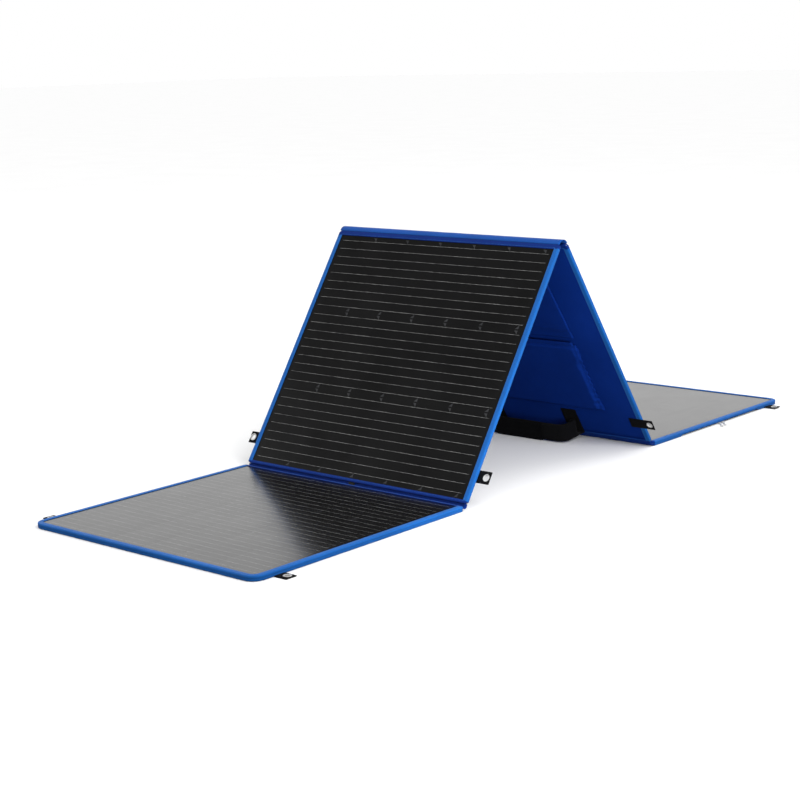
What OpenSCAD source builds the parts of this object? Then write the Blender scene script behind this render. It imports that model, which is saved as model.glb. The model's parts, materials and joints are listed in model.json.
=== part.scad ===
// Four-panel folding solar blanket, standing as a tent: the two inner panels lean
// together at a ridge and the two outer panels lie flat in front and behind.
// +X runs along the folds, +Y from the front outer panel to the rear one, +Z up.
// The origin is on the ground, under the middle of the ridge.

/* [Panel] */
// Width of every panel, along the folds
panel_width = 555; // [540:1:620]
// Length of every panel, across the folds
panel_length = 522; // [521:1:540]
// Thickness of an inner panel
inner_thick = 7; // [7:0.5:9]
// Thickness of an outer panel, with its padded or pocketed back
outer_thick = 10; // [10:0.5:14]
// Corner radius at the free end of an outer panel
free_corner_r = 22; // [16:1:30]
// Corner radius beside a fold
fold_corner_r = 4; // [3:0.5:6]

/* [Binding] */
// How far the edge binding laps onto the face, at the sides and the free end
lap = 10; // [8:0.5:10]
// How far it laps onto the face beside a fold
fold_lap = 6; // [4:0.5:6]
// Thickness of the binding where it laps
lap_thick = 0.8; // [0.6:0.1:1.2]
// Thickness of the binding round the edge
wall = 1; // [0.8:0.1:1.5]

/* [Cells] */
// Side of a full cell before it is cut in half
cell_size = 166; // [150:0.5:166]
// Gap between two cells of a row
cell_gap = 1.5; // [1:0.25:2]
// Gap between two rows
row_gap = 2; // [1:0.25:3]
// Leg of the chamfer at a cell's cut corners
cell_chamfer = 8.3; // [1:0.1:9]
// Busbar wires across each row
wires_per_row = 9; // [5:1:12]

/* [Folds] */
// Slope of the inner panels above the ground
slope = 56; // [45:1:65]
// Distance from a fold's axis to the edge of each panel at the foot
fold_gap = 4; // [3:0.5:6]
// Distance from the ridge axis to the top edge of an inner panel
ridge_gap = 2; // [1:0.5:4]
// Height of a foot fold's axis above the faces of its panels
face_clear = 0.4; // [0.3:0.1:0.8]
// Space left between the backs of the inner panels when folded
back_space = 14; // [14:0.5:20]

/* [Tie tabs] */
// Width of a webbing tab
tab_width = 24; // [20:1:30]
// How far a tab stands out of the panel's edge
tab_reach = 27; // [24:1:35]
// Distance from a tab's middle to the near end of its panel
tab_inset = 55; // [40:1:80]
// Inner radius of an eyelet
eyelet_r = 5; // [3:0.5:6]

/* [Rear fittings] */
// Width of the storage pouch
pouch_width = 412; // [300:1:420]
// Height of the pouch, up the slope
pouch_height = 203; // [150:1:210]
// Thickness of the pouch
pouch_thick = 10; // [8:0.5:10]
// Width of the prop board
prop_width = 398; // [300:1:400]
// Length of the prop board, from its hinge to its free end
prop_length = 178; // [120:1:190]
// Angle at which the prop board stands ajar
prop_ajar = 2; // [0:0.5:2]
// Outer width of the carry handle's loop
handle_width = 236; // [180:1:260]
// Reach of the handle's loop from its fold
handle_reach = 72; // [60:1:90]
// Width of the handle's webbing
webbing = 38; // [25:1:40]

/* [Hidden] */
$fn = 64;
PANELS = ["front_outer", "front_inner", "rear_inner", "rear_outer"];
FITTED = ["film", "busbars", "cells", "backsheet", "board", "cover", "binding", "diode_box", "tabs",
    "eyelets"];

blue = [0.06, 0.22, 0.58];
navy = [0.02, 0.05, 0.30];
black = [0.04, 0.04, 0.05];
silver = [0.75, 0.76, 0.78];

// How far a cut runs past what it cuts
spare = 1;

half_width = panel_width / 2;
far_end = fold_gap + panel_length;
ridge_reach = far_end + ridge_gap;
// Depth of the ridge axis below the foot fold's axis plane
ridge_depth = face_clear + inner_thick + back_space / 2;
fold_y = ridge_reach * cos(slope) + ridge_depth * sin(slope);
fold_z = outer_thick + face_clear;
ridge_z = fold_z + ridge_reach * sin(slope) - ridge_depth * cos(slope);

// Depths of the layers below the top of the binding
film_top = lap_thick;
film_thick = 0.3;
wire_top = film_top + film_thick;
wire_thick = 0.1;
cell_top = wire_top + wire_thick;
cell_thick = 0.3;
sheet_top = cell_top + cell_thick;
sheet_thick = 0.5;
board_top = sheet_top + sheet_thick;
cover_thick = 1;
board_thick = inner_thick - lap_thick - cover_thick - board_top;
pocket_thick = outer_thick - inner_thick;

cell_half = cell_size / 2;
columns = 6;
rows = 3;
block_width = columns * cell_half + (columns - 1) * cell_gap;
// Where the first row starts, measured from the fold's axis
block_start = fold_gap + fold_lap + 2;
row_pitch = cell_size + row_gap;
wire_pitch = cell_size / wires_per_row;
wire_width = 0.8;
wire_overhang = 7;

diode_box_size = [60, 28];
diode_box_at = 470;
diode_box_play = 0.5;
diode_box_clear = 0.1;

window_r = 1;

tab_thick = 1.6;
tab_sewn = 28;
flange = 0.7;
eyelet_wall = 1;
flange_reach = 2.5;
eyelet_flange_r = eyelet_r + flange_reach;
eyelet_out = 18;
tab_lift = 1;

strip_thick = 0.7;
fold_strip_r = 7;
ridge_strip_r = ridge_depth - face_clear;
lead_thick = 1;
lead_width = 14;
lead_step = 1.4;

pouch_start = 75;
pouch_corner_r = 14;
pouch_foot_r = 3;
pouch_wall = 1;
output_box_size = [90, 60, 6];
gland_r = 2.8;
gland_length = 14;
output_box_play = 0.3;

prop_at = 304;
prop_thick = 4.2;
prop_skin = 1;
prop_corner_r = 16;
prop_foot_r = 3;
prop_start = 2;
prop_lift = 0.6;
prop_strip_height = 22;

handle_fold_at = 8;
anchor_top = 72;
anchor_thick = 2;
handle_thick = 2;
grip_length = 120;
grip_thick = 6;
grip_wall = 1;
grip_clear = 0.3;
handle_start = 2;
handle_corner_r = 19;
leg_length = 32;
band_start = 32;
band_thick = handle_thick;
band_height = webbing;

zip_start = 110;
zip_length = 320;
zip_drop = 0.2;
zip_depth = inner_thick - lap_thick + zip_drop;
tape_width = 12.5;
zip_inner = half_width - tape_width;
zip_margin = 1;
coil_width = 5;
coil_x = half_width - 7;
coil_end = 4;
tape_thick = 0.8;
coil_thick = 1;
slider_size = [9, 13];
slider_apart = 14;
slider_play = 0.2;
zip_middle = zip_start + zip_length / 2;
slider_top = zip_depth + tape_thick + slider_play;
slider_thick = coil_thick + 1;
lug_thick = 1;
post_x = half_width + 2;
post_r = 1.5;
post_length = 2.4;
pull_play = 0.05;
pull_length = 30;
pull_width = 7;
pull_thick = 1;
pull_rim = 1.5;
pull_lift = 0.1;
pull_turn = -50;

function is_outer(p) = p == 0 || p == 3;
function thick(p) = is_outer(p) ? outer_thick : inner_thick;
function far_r(p) = is_outer(p) ? free_corner_r : fold_corner_r;
// A tab sits near the ground fold of an inner panel and near the free end of an outer one
function tab_at(p) = is_outer(p) ? far_end - tab_inset : fold_gap + tab_inset;

// Places a panel's own frame: x along the fold, y up the panel from its foot fold, z out of its face
module on_panel(p) {
    if (p == 0) translate([0, -fold_y, fold_z]) rotate([0, 0, 180]) children();
    if (p == 1) translate([0, -fold_y, fold_z]) rotate([slope, 0, 0]) children();
    if (p == 2) translate([0, fold_y, fold_z]) rotate([-slope, 0, 0]) rotate([0, 0, 180]) children();
    if (p == 3) translate([0, fold_y, fold_z]) children();
}

// A rectangle from near to far, with its own corner radius at each end
module rounded(half, near, far, r_near, r_far) {
    translate([-half, near + r_near]) square([2 * half, far - near - r_near - r_far]);
    translate([-(half - r_near), near]) square([2 * (half - r_near), r_near + spare]);
    translate([-(half - r_far), far - r_far - spare]) square([2 * (half - r_far), r_far + spare]);
    for (side = [-1, 1]) {
        translate([side * (half - r_near), near + r_near]) circle(r = r_near);
        translate([side * (half - r_far), far - r_far]) circle(r = r_far);
    }
}

// The panel's outline, drawn in by inset all round
module outline(p, inset) {
    rounded(half_width - inset, fold_gap + inset, far_end - inset, fold_corner_r - inset, far_r(p) - inset);
}

// The part of the face that the binding leaves open
module face_window(p) {
    rounded(half_width - lap, fold_gap + fold_lap, far_end - lap, window_r, max(far_r(p) - lap, window_r));
}

// A layer of the panel between two depths below the top of the binding
module layer(depth, thickness) {
    translate([0, 0, -face_clear - depth - thickness]) linear_extrude(thickness) children();
}

module film(p) {
    color(black, 0.6) on_panel(p) layer(film_top, film_thick) outline(p, wall);
}

module busbars(p) {
    color("silver") on_panel(p) layer(wire_top, wire_thick)
        for (row = [0:rows - 1]) for (i = [0:wires_per_row - 1])
            translate([-block_width / 2 - wire_overhang,
                       block_start + row * row_pitch + (i + 0.5) * wire_pitch - wire_width / 2])
                square([block_width + 2 * wire_overhang, wire_width]);
}

// Half a pseudo-square cell, with the cut corners on one long side
module half_cell() {
    polygon([[0, 0], [cell_half - cell_chamfer, 0], [cell_half, cell_chamfer],
             [cell_half, cell_size - cell_chamfer], [cell_half - cell_chamfer, cell_size], [0, cell_size]]);
}

module cells(p) {
    color(black) on_panel(p) layer(cell_top, cell_thick)
        for (row = [0:rows - 1]) for (column = [0:columns - 1])
            translate([-block_width / 2 + column * (cell_half + cell_gap), block_start + row * row_pitch])
                half_cell();
}

module backsheet(p) {
    color(black) on_panel(p) layer(sheet_top, sheet_thick) outline(p, wall);
}

module diode_box_plan(play = 0) {
    size = [diode_box_size.x + 2 * play, diode_box_size.y + 2 * play];
    translate([-size.x / 2, diode_box_at - size.y / 2]) square(size);
}

module board(p) {
    color("dimgray") on_panel(p) difference() {
        layer(board_top, board_thick) outline(p, wall);
        layer(board_top - spare, board_thick + 2 * spare) diode_box_plan(diode_box_play);
    }
}

module diode_box(p) {
    color(black) on_panel(p) layer(board_top + diode_box_clear, board_thick - 2 * diode_box_clear)
        diode_box_plan();
}

// The back fabric; the front outer panel's is padded to the full depth
module cover(p) {
    padding = p == 0 ? pocket_thick : 0;
    color(navy) on_panel(p) layer(board_top + board_thick, cover_thick + padding) outline(p, wall);
}

// Room in the rear outer panel's binding for the zip along its right edge
module zip_slot() {
    layer(zip_depth, outer_thick) translate([zip_inner, zip_start]) square([tape_width + spare, zip_length]);
}

module binding(p) {
    core = thick(p) - 2 * lap_thick;
    color(blue) on_panel(p) difference() {
        layer(0, thick(p)) outline(p, 0);
        layer(lap_thick, core) outline(p, wall);
        layer(-spare, lap_thick + 2 * spare) face_window(p);
        layer(thick(p) - lap_thick - spare, lap_thick + 2 * spare) face_window(p);
        if (p == 3) zip_slot();
    }
}

// Depth of the top of a panel's tabs: on the back of an inner panel, low on the edge of an outer one
function tab_depth(p) = is_outer(p) ? outer_thick - tab_lift - tab_thick : inner_thick;
function tab_root(p) = is_outer(p) ? 0 : tab_sewn;

module tabs(p) {
    color(black) on_panel(p) layer(tab_depth(p), tab_thick) for (side = [0, 1]) mirror([side, 0])
        difference() {
            translate([half_width - tab_root(p), tab_at(p) - tab_width / 2])
                square([tab_root(p) + tab_reach, tab_width]);
            translate([half_width + eyelet_out, tab_at(p)]) circle(r = eyelet_r + eyelet_wall);
        }
}

// A two-part eyelet: a barrel through the webbing and a flange on each side
module eyelets(p) {
    top = tab_depth(p) - flange;
    color(silver) on_panel(p) for (side = [-1, 1]) translate([side * (half_width + eyelet_out), tab_at(p)])
        difference() {
            union() {
                layer(top, tab_thick + 2 * flange) circle(r = eyelet_r + eyelet_wall);
                layer(top, flange) circle(r = eyelet_flange_r);
                layer(tab_depth(p) + tab_thick, flange) circle(r = eyelet_flange_r);
            }
            layer(top - spare, tab_thick + 2 * (flange + spare)) circle(r = eyelet_r);
        }
}

// A curved band round the X axis, between two angles measured from +Y towards +Z
module arc_band(r, thickness, width, from, to) {
    rotate([90, 0, 90]) translate([0, 0, -width / 2]) rotate([0, 0, from])
        rotate_extrude(angle = to - from) translate([r - thickness, 0]) square([thickness, width]);
}

// Angle between a panel's own line and the place where a band of radius r meets its edge, gap away
function edge_angle(r, gap) = acos(gap / r);

// Degrees by which a band runs past a panel's edge before it is cut to fit, and the hair left there
band_spare = 6;
band_clear = 0.02;

// All that lies beyond a panel's edge, which stands gap away from the axis at an angle from +Y
module past_edge(angle, gap, r, width) {
    rotate([angle, 0, 0]) translate([-width / 2 - spare, gap - band_clear, -r - spare])
        cube([width + 2 * spare, r, 2 * (r + spare)]);
}

module foot_band(r, thickness, width) {
    slack = edge_angle(r - thickness, fold_gap) - band_spare;
    difference() {
        arc_band(r, thickness, width, 180 + slack, 360 + slope - slack);
        for (angle = [180, slope]) past_edge(angle, fold_gap, r, width);
    }
}

module ridge_band(r, thickness, width) {
    slack = 90 - edge_angle(r - thickness, ridge_gap) + band_spare;
    difference() {
        arc_band(r, thickness, width, 90 - slope - slack, 90 + slope + slack);
        for (angle = [-slope, 180 + slope]) past_edge(angle, ridge_gap, r, width);
    }
}

module front_hinge_strip() {
    color(navy) translate([0, -fold_y, fold_z]) foot_band(fold_strip_r, strip_thick, panel_width - 2);
}

module rear_hinge_strip() {
    color(navy) translate([0, fold_y, fold_z]) mirror([0, 1, 0])
        foot_band(fold_strip_r, strip_thick, panel_width - 2);
}

module ridge_hinge_strip() {
    color(blue) translate([0, 0, ridge_z]) ridge_band(ridge_strip_r, strip_thick, panel_width - 2);
}

module front_link_lead() {
    color(black) translate([0, -fold_y, fold_z])
        foot_band(fold_strip_r - lead_step, lead_thick, lead_width);
}

module rear_link_lead() {
    color(black) translate([0, fold_y, fold_z]) mirror([0, 1, 0])
        foot_band(fold_strip_r - lead_step, lead_thick, lead_width);
}

module ridge_link_lead() {
    color(black) translate([0, 0, ridge_z]) ridge_band(ridge_strip_r - lead_step, lead_thick, lead_width);
}

// Depth of the back fabric and of the binding's back lap on the rear inner panel
back_fabric = inner_thick - lap_thick;

module output_box_shape(play = 0) {
    size = [for (side = output_box_size) side + 2 * play];
    middle = pouch_start + pouch_height / 2;
    layer(back_fabric + pouch_wall - play, size.z) translate([-size.x / 2, middle - size.y / 2])
        square([size.x, size.y]);
    translate([0, middle, -face_clear - back_fabric - pouch_wall - output_box_size.z / 2])
        rotate([90, 0, 0]) cylinder(r = gland_r + play, h = size.y / 2 + gland_length);
}

module pouch() {
    color(navy) on_panel(2) difference() {
        layer(back_fabric, pouch_thick)
            rounded(pouch_width / 2, pouch_start, pouch_start + pouch_height, pouch_foot_r, pouch_corner_r);
        output_box_shape(output_box_play);
    }
}

module output_box() {
    color(black) on_panel(2) output_box_shape();
}

// Places the prop board's own frame: y from its hinge to its free end, z towards the panel
module on_prop() {
    on_panel(2) translate([0, prop_at, -face_clear - inner_thick - prop_lift - prop_thick / 2])
        rotate([-prop_ajar, 0, 0]) children();
}

module prop_outline(inset) {
    rounded(prop_width / 2 - inset, prop_start + inset, prop_length - inset,
        prop_foot_r - inset, prop_corner_r - inset);
}

module prop_board() {
    core = prop_thick - 2 * prop_skin;
    color("dimgray") on_prop() translate([0, 0, -core / 2]) linear_extrude(core) prop_outline(prop_skin);
}

module prop_cover() {
    core = prop_thick - 2 * prop_skin;
    color(navy) on_prop() difference() {
        translate([0, 0, -prop_thick / 2]) linear_extrude(prop_thick) prop_outline(0);
        translate([0, 0, -core / 2]) linear_extrude(core) prop_outline(prop_skin);
    }
}

module prop_hinge_strip() {
    color(navy) on_panel(2) layer(back_fabric, cover_thick)
        translate([-prop_width / 2, prop_at - prop_strip_height]) square([prop_width, prop_strip_height]);
}

module handle_anchors() {
    color(black) on_panel(2) layer(inner_thick, anchor_thick) for (side = [-1, 1])
        translate([side * (handle_width - webbing) / 2 - webbing / 2, handle_fold_at])
            square([webbing, anchor_top - handle_fold_at]);
}

// The handle folds where its webbing leaves the back of the rear inner panel
handle_deep = face_clear + inner_thick + anchor_thick / 2;
handle_y = fold_y - handle_fold_at * cos(slope) - handle_deep * sin(slope);
handle_z = fold_z + handle_fold_at * sin(slope) - handle_deep * cos(slope);
// The loop slopes down until the far edge of the grip lies on the ground
grip_far = handle_reach + (grip_thick - band_thick) / 2;
handle_tilt = asin((handle_z - handle_thick / 2 - grip_wall - grip_clear) / grip_far);

// Places the handle's own frame: y from its fold to the grip
module on_handle() {
    translate([0, handle_y, handle_z]) rotate([handle_tilt, 0, 0]) rotate([0, 0, 180]) children();
}

// The loop: its flat legs, and between them the same webbing turned to stand on its edge
module handle_webbing() {
    color(black) on_handle() translate([0, 0, -handle_thick / 2]) {
        for (side = [-1, 1]) translate([side * (handle_width - webbing) / 2 - webbing / 2, handle_start])
            cube([webbing, leg_length, handle_thick]);
        linear_extrude(band_height) difference() {
            rounded(handle_width / 2, band_start, handle_reach, window_r, handle_corner_r);
            rounded(handle_width / 2 - band_thick, band_start - spare, handle_reach - band_thick,
                window_r, handle_corner_r - band_thick);
        }
    }
}

module handle_grip() {
    color(black) on_handle()
        translate([-grip_length / 2, handle_reach - band_thick / 2, (band_height - handle_thick) / 2])
            rotate([90, 0, 90]) linear_extrude(grip_length) difference() {
                sleeve(band_height / 2 + grip_wall, grip_thick / 2);
                square([band_thick, band_height], center = true);
            }
}

// A flat sleeve with round sides, centred
module sleeve(half, r) {
    square([2 * r, 2 * (half - r)], center = true);
    for (side = [-1, 1]) translate([0, side * (half - r)]) circle(r = r);
}

// The accessory pocket under the rear outer panel
module rear_pocket() {
    color(navy) on_panel(3) layer(inner_thick - lap_thick, pocket_thick) difference() {
        outline(3, wall);
        translate([zip_inner - zip_margin, zip_start - zip_margin])
            square([tape_width, zip_length + 2 * zip_margin]);
    }
}

module zip_track() {
    color(black) on_panel(3) {
        layer(zip_depth, tape_thick) translate([zip_inner, zip_start])
            square([half_width - zip_inner, zip_length]);
        layer(zip_depth + tape_thick, coil_thick)
            translate([coil_x - coil_width / 2, zip_start + coil_end])
                square([coil_width, zip_length - 2 * coil_end]);
    }
}

// A slider that straddles the coil, with a lug outside the edge and a post for its pull
module slider(at) {
    color(silver) on_panel(3) difference() {
        union() {
            layer(slider_top, slider_thick) translate([coil_x - slider_size.x / 2, at - slider_size.y / 2])
                square(slider_size);
            layer(slider_top, lug_thick) translate([coil_x, at - post_r])
                square([post_x - coil_x, 2 * post_r]);
            layer(slider_top, post_length) translate([post_x, at]) circle(r = post_r);
        }
        layer(slider_top - spare, coil_thick + spare)
            translate([coil_x - coil_width / 2 - slider_play, at - slider_size.y])
                square([coil_width + 2 * slider_play, 2 * slider_size.y]);
    }
}

module zip_slider_near() {
    slider(zip_middle - slider_apart / 2);
}

module zip_slider_far() {
    slider(zip_middle + slider_apart / 2);
}

// A slim drop-shaped pull with an eye round the slider's post
module pull(at) {
    drop_at = pull_length - pull_width / 2;
    color(silver) on_panel(3) translate([post_x, at, 0]) rotate([0, 0, pull_turn])
        layer(slider_top + lug_thick + pull_lift, pull_thick) difference() {
            union() {
                circle(r = post_r + pull_rim);
                translate([0, -pull_rim]) square([drop_at, 2 * pull_rim]);
                translate([drop_at, 0]) circle(r = pull_width / 2);
            }
            circle(r = post_r + pull_play);
            translate([drop_at, 0]) circle(r = pull_width / 2 - pull_rim);
        }
}

module zip_pull_near() {
    pull(zip_middle - slider_apart / 2);
}

module zip_pull_far() {
    pull(zip_middle + slider_apart / 2);
}

for (p = [0:3]) {
    film(p);
    busbars(p);
    cells(p);
    backsheet(p);
    board(p);
    cover(p);
    binding(p);
    diode_box(p);
    tabs(p);
    eyelets(p);
}
front_hinge_strip();
ridge_hinge_strip();
rear_hinge_strip();
front_link_lead();
ridge_link_lead();
rear_link_lead();
pouch();
output_box();
prop_board();
prop_cover();
prop_hinge_strip();
handle_anchors();
handle_webbing();
handle_grip();
rear_pocket();
zip_track();
zip_slider_near();
zip_slider_far();
zip_pull_near();
zip_pull_far();
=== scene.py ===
"""A folding solar blanket standing as a tent: its looks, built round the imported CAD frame.

Each panel has its own frame: x along the folds, s up the panel from its foot fold, and
depth below the top of its edge binding. Everything is in metres.
"""
import json
import math

import bmesh
import bpy
from mathutils import Matrix, Vector, noise
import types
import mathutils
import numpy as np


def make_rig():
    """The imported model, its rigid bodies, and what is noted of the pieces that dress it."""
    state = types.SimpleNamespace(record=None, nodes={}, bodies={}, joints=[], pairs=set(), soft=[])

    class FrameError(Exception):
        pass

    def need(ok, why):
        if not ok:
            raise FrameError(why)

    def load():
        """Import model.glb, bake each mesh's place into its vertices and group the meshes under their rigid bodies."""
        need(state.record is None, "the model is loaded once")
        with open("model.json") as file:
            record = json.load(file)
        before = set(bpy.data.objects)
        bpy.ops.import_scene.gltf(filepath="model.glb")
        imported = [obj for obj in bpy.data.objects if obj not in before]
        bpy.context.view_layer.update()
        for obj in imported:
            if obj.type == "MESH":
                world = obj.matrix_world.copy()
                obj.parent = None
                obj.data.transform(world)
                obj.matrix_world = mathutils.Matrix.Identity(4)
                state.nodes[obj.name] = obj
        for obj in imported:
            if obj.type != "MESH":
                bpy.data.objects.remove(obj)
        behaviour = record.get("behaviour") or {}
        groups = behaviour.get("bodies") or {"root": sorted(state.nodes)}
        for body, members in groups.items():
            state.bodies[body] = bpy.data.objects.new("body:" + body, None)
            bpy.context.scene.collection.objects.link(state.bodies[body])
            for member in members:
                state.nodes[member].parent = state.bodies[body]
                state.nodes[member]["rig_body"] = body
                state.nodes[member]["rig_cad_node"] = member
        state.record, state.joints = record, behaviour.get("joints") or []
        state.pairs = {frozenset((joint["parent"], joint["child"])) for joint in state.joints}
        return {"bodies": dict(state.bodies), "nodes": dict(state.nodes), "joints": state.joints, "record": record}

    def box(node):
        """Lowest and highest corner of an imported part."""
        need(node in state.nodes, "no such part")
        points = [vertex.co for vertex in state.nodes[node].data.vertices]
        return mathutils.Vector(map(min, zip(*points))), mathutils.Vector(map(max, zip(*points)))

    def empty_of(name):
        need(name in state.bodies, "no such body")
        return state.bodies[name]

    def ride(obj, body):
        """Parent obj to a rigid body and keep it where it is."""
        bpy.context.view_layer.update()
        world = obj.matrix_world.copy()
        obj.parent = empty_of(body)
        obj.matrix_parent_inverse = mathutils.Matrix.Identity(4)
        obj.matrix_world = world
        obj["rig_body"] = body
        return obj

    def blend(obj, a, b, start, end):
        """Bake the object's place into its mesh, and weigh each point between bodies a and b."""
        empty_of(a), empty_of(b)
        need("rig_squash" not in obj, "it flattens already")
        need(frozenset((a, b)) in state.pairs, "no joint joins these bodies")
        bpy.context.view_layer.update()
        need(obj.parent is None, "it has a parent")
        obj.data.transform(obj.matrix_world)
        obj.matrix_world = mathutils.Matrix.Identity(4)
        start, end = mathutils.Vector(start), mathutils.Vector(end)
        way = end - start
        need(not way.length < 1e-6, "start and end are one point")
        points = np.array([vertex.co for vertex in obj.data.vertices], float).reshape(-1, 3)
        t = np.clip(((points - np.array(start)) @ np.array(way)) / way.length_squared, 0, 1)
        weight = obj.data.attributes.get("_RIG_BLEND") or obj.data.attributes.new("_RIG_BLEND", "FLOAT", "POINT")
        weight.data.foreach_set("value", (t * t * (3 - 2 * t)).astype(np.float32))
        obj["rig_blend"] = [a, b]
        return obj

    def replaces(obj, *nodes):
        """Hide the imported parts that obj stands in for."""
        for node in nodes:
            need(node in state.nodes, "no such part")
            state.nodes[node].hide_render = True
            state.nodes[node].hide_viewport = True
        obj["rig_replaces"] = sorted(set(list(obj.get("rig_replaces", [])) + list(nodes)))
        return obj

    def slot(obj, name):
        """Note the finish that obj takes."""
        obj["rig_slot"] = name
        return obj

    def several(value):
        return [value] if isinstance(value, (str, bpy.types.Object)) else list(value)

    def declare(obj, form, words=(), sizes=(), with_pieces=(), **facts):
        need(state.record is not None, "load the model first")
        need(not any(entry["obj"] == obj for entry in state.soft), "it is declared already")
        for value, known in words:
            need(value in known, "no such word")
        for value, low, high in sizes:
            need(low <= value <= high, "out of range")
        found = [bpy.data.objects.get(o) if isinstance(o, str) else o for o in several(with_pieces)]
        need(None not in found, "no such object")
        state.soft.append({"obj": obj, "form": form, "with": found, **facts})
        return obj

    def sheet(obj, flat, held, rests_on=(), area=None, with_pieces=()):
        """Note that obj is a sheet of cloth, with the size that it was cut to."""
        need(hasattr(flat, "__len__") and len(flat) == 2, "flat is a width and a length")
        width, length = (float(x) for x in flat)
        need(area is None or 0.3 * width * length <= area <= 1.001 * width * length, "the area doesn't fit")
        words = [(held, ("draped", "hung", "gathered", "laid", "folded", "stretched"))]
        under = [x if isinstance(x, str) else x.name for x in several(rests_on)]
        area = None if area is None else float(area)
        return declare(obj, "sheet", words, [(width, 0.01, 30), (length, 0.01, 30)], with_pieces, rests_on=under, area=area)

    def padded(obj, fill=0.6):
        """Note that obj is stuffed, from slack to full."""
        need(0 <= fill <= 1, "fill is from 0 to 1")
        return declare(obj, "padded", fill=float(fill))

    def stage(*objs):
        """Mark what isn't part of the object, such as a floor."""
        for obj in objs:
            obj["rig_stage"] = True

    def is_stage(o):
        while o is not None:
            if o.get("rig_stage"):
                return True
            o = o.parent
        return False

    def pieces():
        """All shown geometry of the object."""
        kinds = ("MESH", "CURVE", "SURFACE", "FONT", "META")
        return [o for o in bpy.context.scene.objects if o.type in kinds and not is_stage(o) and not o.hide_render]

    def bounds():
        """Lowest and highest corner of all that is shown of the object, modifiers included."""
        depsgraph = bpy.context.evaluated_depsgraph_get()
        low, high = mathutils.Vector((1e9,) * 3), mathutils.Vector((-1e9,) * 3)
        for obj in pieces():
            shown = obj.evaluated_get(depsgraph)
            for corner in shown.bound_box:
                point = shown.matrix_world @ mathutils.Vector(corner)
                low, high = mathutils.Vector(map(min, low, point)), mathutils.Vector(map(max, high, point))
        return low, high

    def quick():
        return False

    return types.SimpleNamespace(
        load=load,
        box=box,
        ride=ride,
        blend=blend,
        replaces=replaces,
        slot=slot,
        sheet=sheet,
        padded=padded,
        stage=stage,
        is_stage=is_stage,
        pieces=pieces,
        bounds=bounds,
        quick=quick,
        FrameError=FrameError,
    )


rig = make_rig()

MM = 0.001
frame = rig.load()
cad_low, cad_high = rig.bounds()
joints = {joint["name"]: joint for joint in frame["joints"]}

# ---------------------------------------------------------------- sizes from the frame

FRONT_FOLD = Vector(joints["front_fold"]["pos_m"])
REAR_FOLD = Vector(joints["rear_fold"]["pos_m"])
RIDGE = Vector(joints["ridge_fold"]["pos_m"])
PROP_HINGE = Vector(joints["prop_swing"]["pos_m"])
HANDLE_FOLD = Vector(joints["handle_swing"]["pos_m"])
SLOPE = math.radians(-joints["front_fold"]["range_deg"][0])

binding_low, binding_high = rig.box("front_outer_binding")
film_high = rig.box("front_outer_film")[1]
HALF_WIDTH = binding_high.x
FACE_CLEAR = FRONT_FOLD.z - binding_high.z
FOLD_GAP = FRONT_FOLD.y - binding_high.y
FAR_END = FRONT_FOLD.y - binding_low.y
OUTER_THICK = binding_high.z - binding_low.z
LAP_THICK = binding_high.z - film_high.z
WALL = HALF_WIDTH - film_high.x
RIM_DEPTH = binding_high.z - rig.box("rear_outer_cover")[0].z
INNER_THICK = RIM_DEPTH + LAP_THICK

cells_low, cells_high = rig.box("front_outer_cells")
BLOCK_HALF = cells_high.x
BLOCK_START = FRONT_FOLD.y - cells_high.y
BLOCK_END = FRONT_FOLD.y - cells_low.y
WIRE_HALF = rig.box("front_outer_busbars")[1].x
COLUMNS = 6
ROWS = 3
WIRES_PER_ROW = 9
CELL_GAP = 1.5 * MM
ROW_GAP = 2 * MM
CHAMFER = 8.3 * MM
CELL_WIDTH = (2 * BLOCK_HALF - (COLUMNS - 1) * CELL_GAP) / COLUMNS
CELL_LENGTH = (BLOCK_END - BLOCK_START - (ROWS - 1) * ROW_GAP) / ROWS

LAP = 10 * MM
FOLD_LAP = 6 * MM
FREE_CORNER = 22 * MM
FOLD_CORNER = 4 * MM
STITCH_PITCH = 3.6 * MM
TAPE_STEP = 6 * MM
SHARP_CORNER = 0.5 * MM


class Panel:
    """One panel's own frame, its thickness and the radius of its corners at the far end."""

    def __init__(self, name, fold, x_way, up_way, thick, far_corner):
        self.name = name
        self.fold = fold
        self.x_way = Vector(x_way)
        self.up_way = Vector(up_way)
        self.out_way = self.x_way.cross(self.up_way)
        self.thick = thick
        self.far_corner = far_corner
        self.body = name + "_panel"
        self.seed = 10.0 * len(name) + fold.y

    def at(self, x, s, depth):
        out = -(FACE_CLEAR + depth)
        return self.fold + x * self.x_way + s * self.up_way + out * self.out_way


cos_slope = math.cos(SLOPE)
sin_slope = math.sin(SLOPE)
FRONT_OUTER = Panel("front_outer", FRONT_FOLD, (-1, 0, 0), (0, -1, 0), OUTER_THICK, FREE_CORNER)
FRONT_INNER = Panel("front_inner", FRONT_FOLD, (1, 0, 0), (0, cos_slope, sin_slope), INNER_THICK, FOLD_CORNER)
REAR_INNER = Panel("rear_inner", REAR_FOLD, (-1, 0, 0), (0, -cos_slope, sin_slope), INNER_THICK, FOLD_CORNER)
REAR_OUTER = Panel("rear_outer", REAR_FOLD, (1, 0, 0), (0, 1, 0), OUTER_THICK, FREE_CORNER)
PANELS = (FRONT_OUTER, FRONT_INNER, REAR_INNER, REAR_OUTER)


def span(panel, node):
    """A CAD node's reach in a panel's own frame: its low and high x, s and depth."""
    points = [vertex.co - panel.fold for vertex in frame["nodes"][node].data.vertices]
    x = [point.dot(panel.x_way) for point in points]
    s = [point.dot(panel.up_way) for point in points]
    depth = [-point.dot(panel.out_way) - FACE_CLEAR for point in points]
    return (min(x), max(x)), (min(s), max(s)), (min(depth), max(depth))


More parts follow.
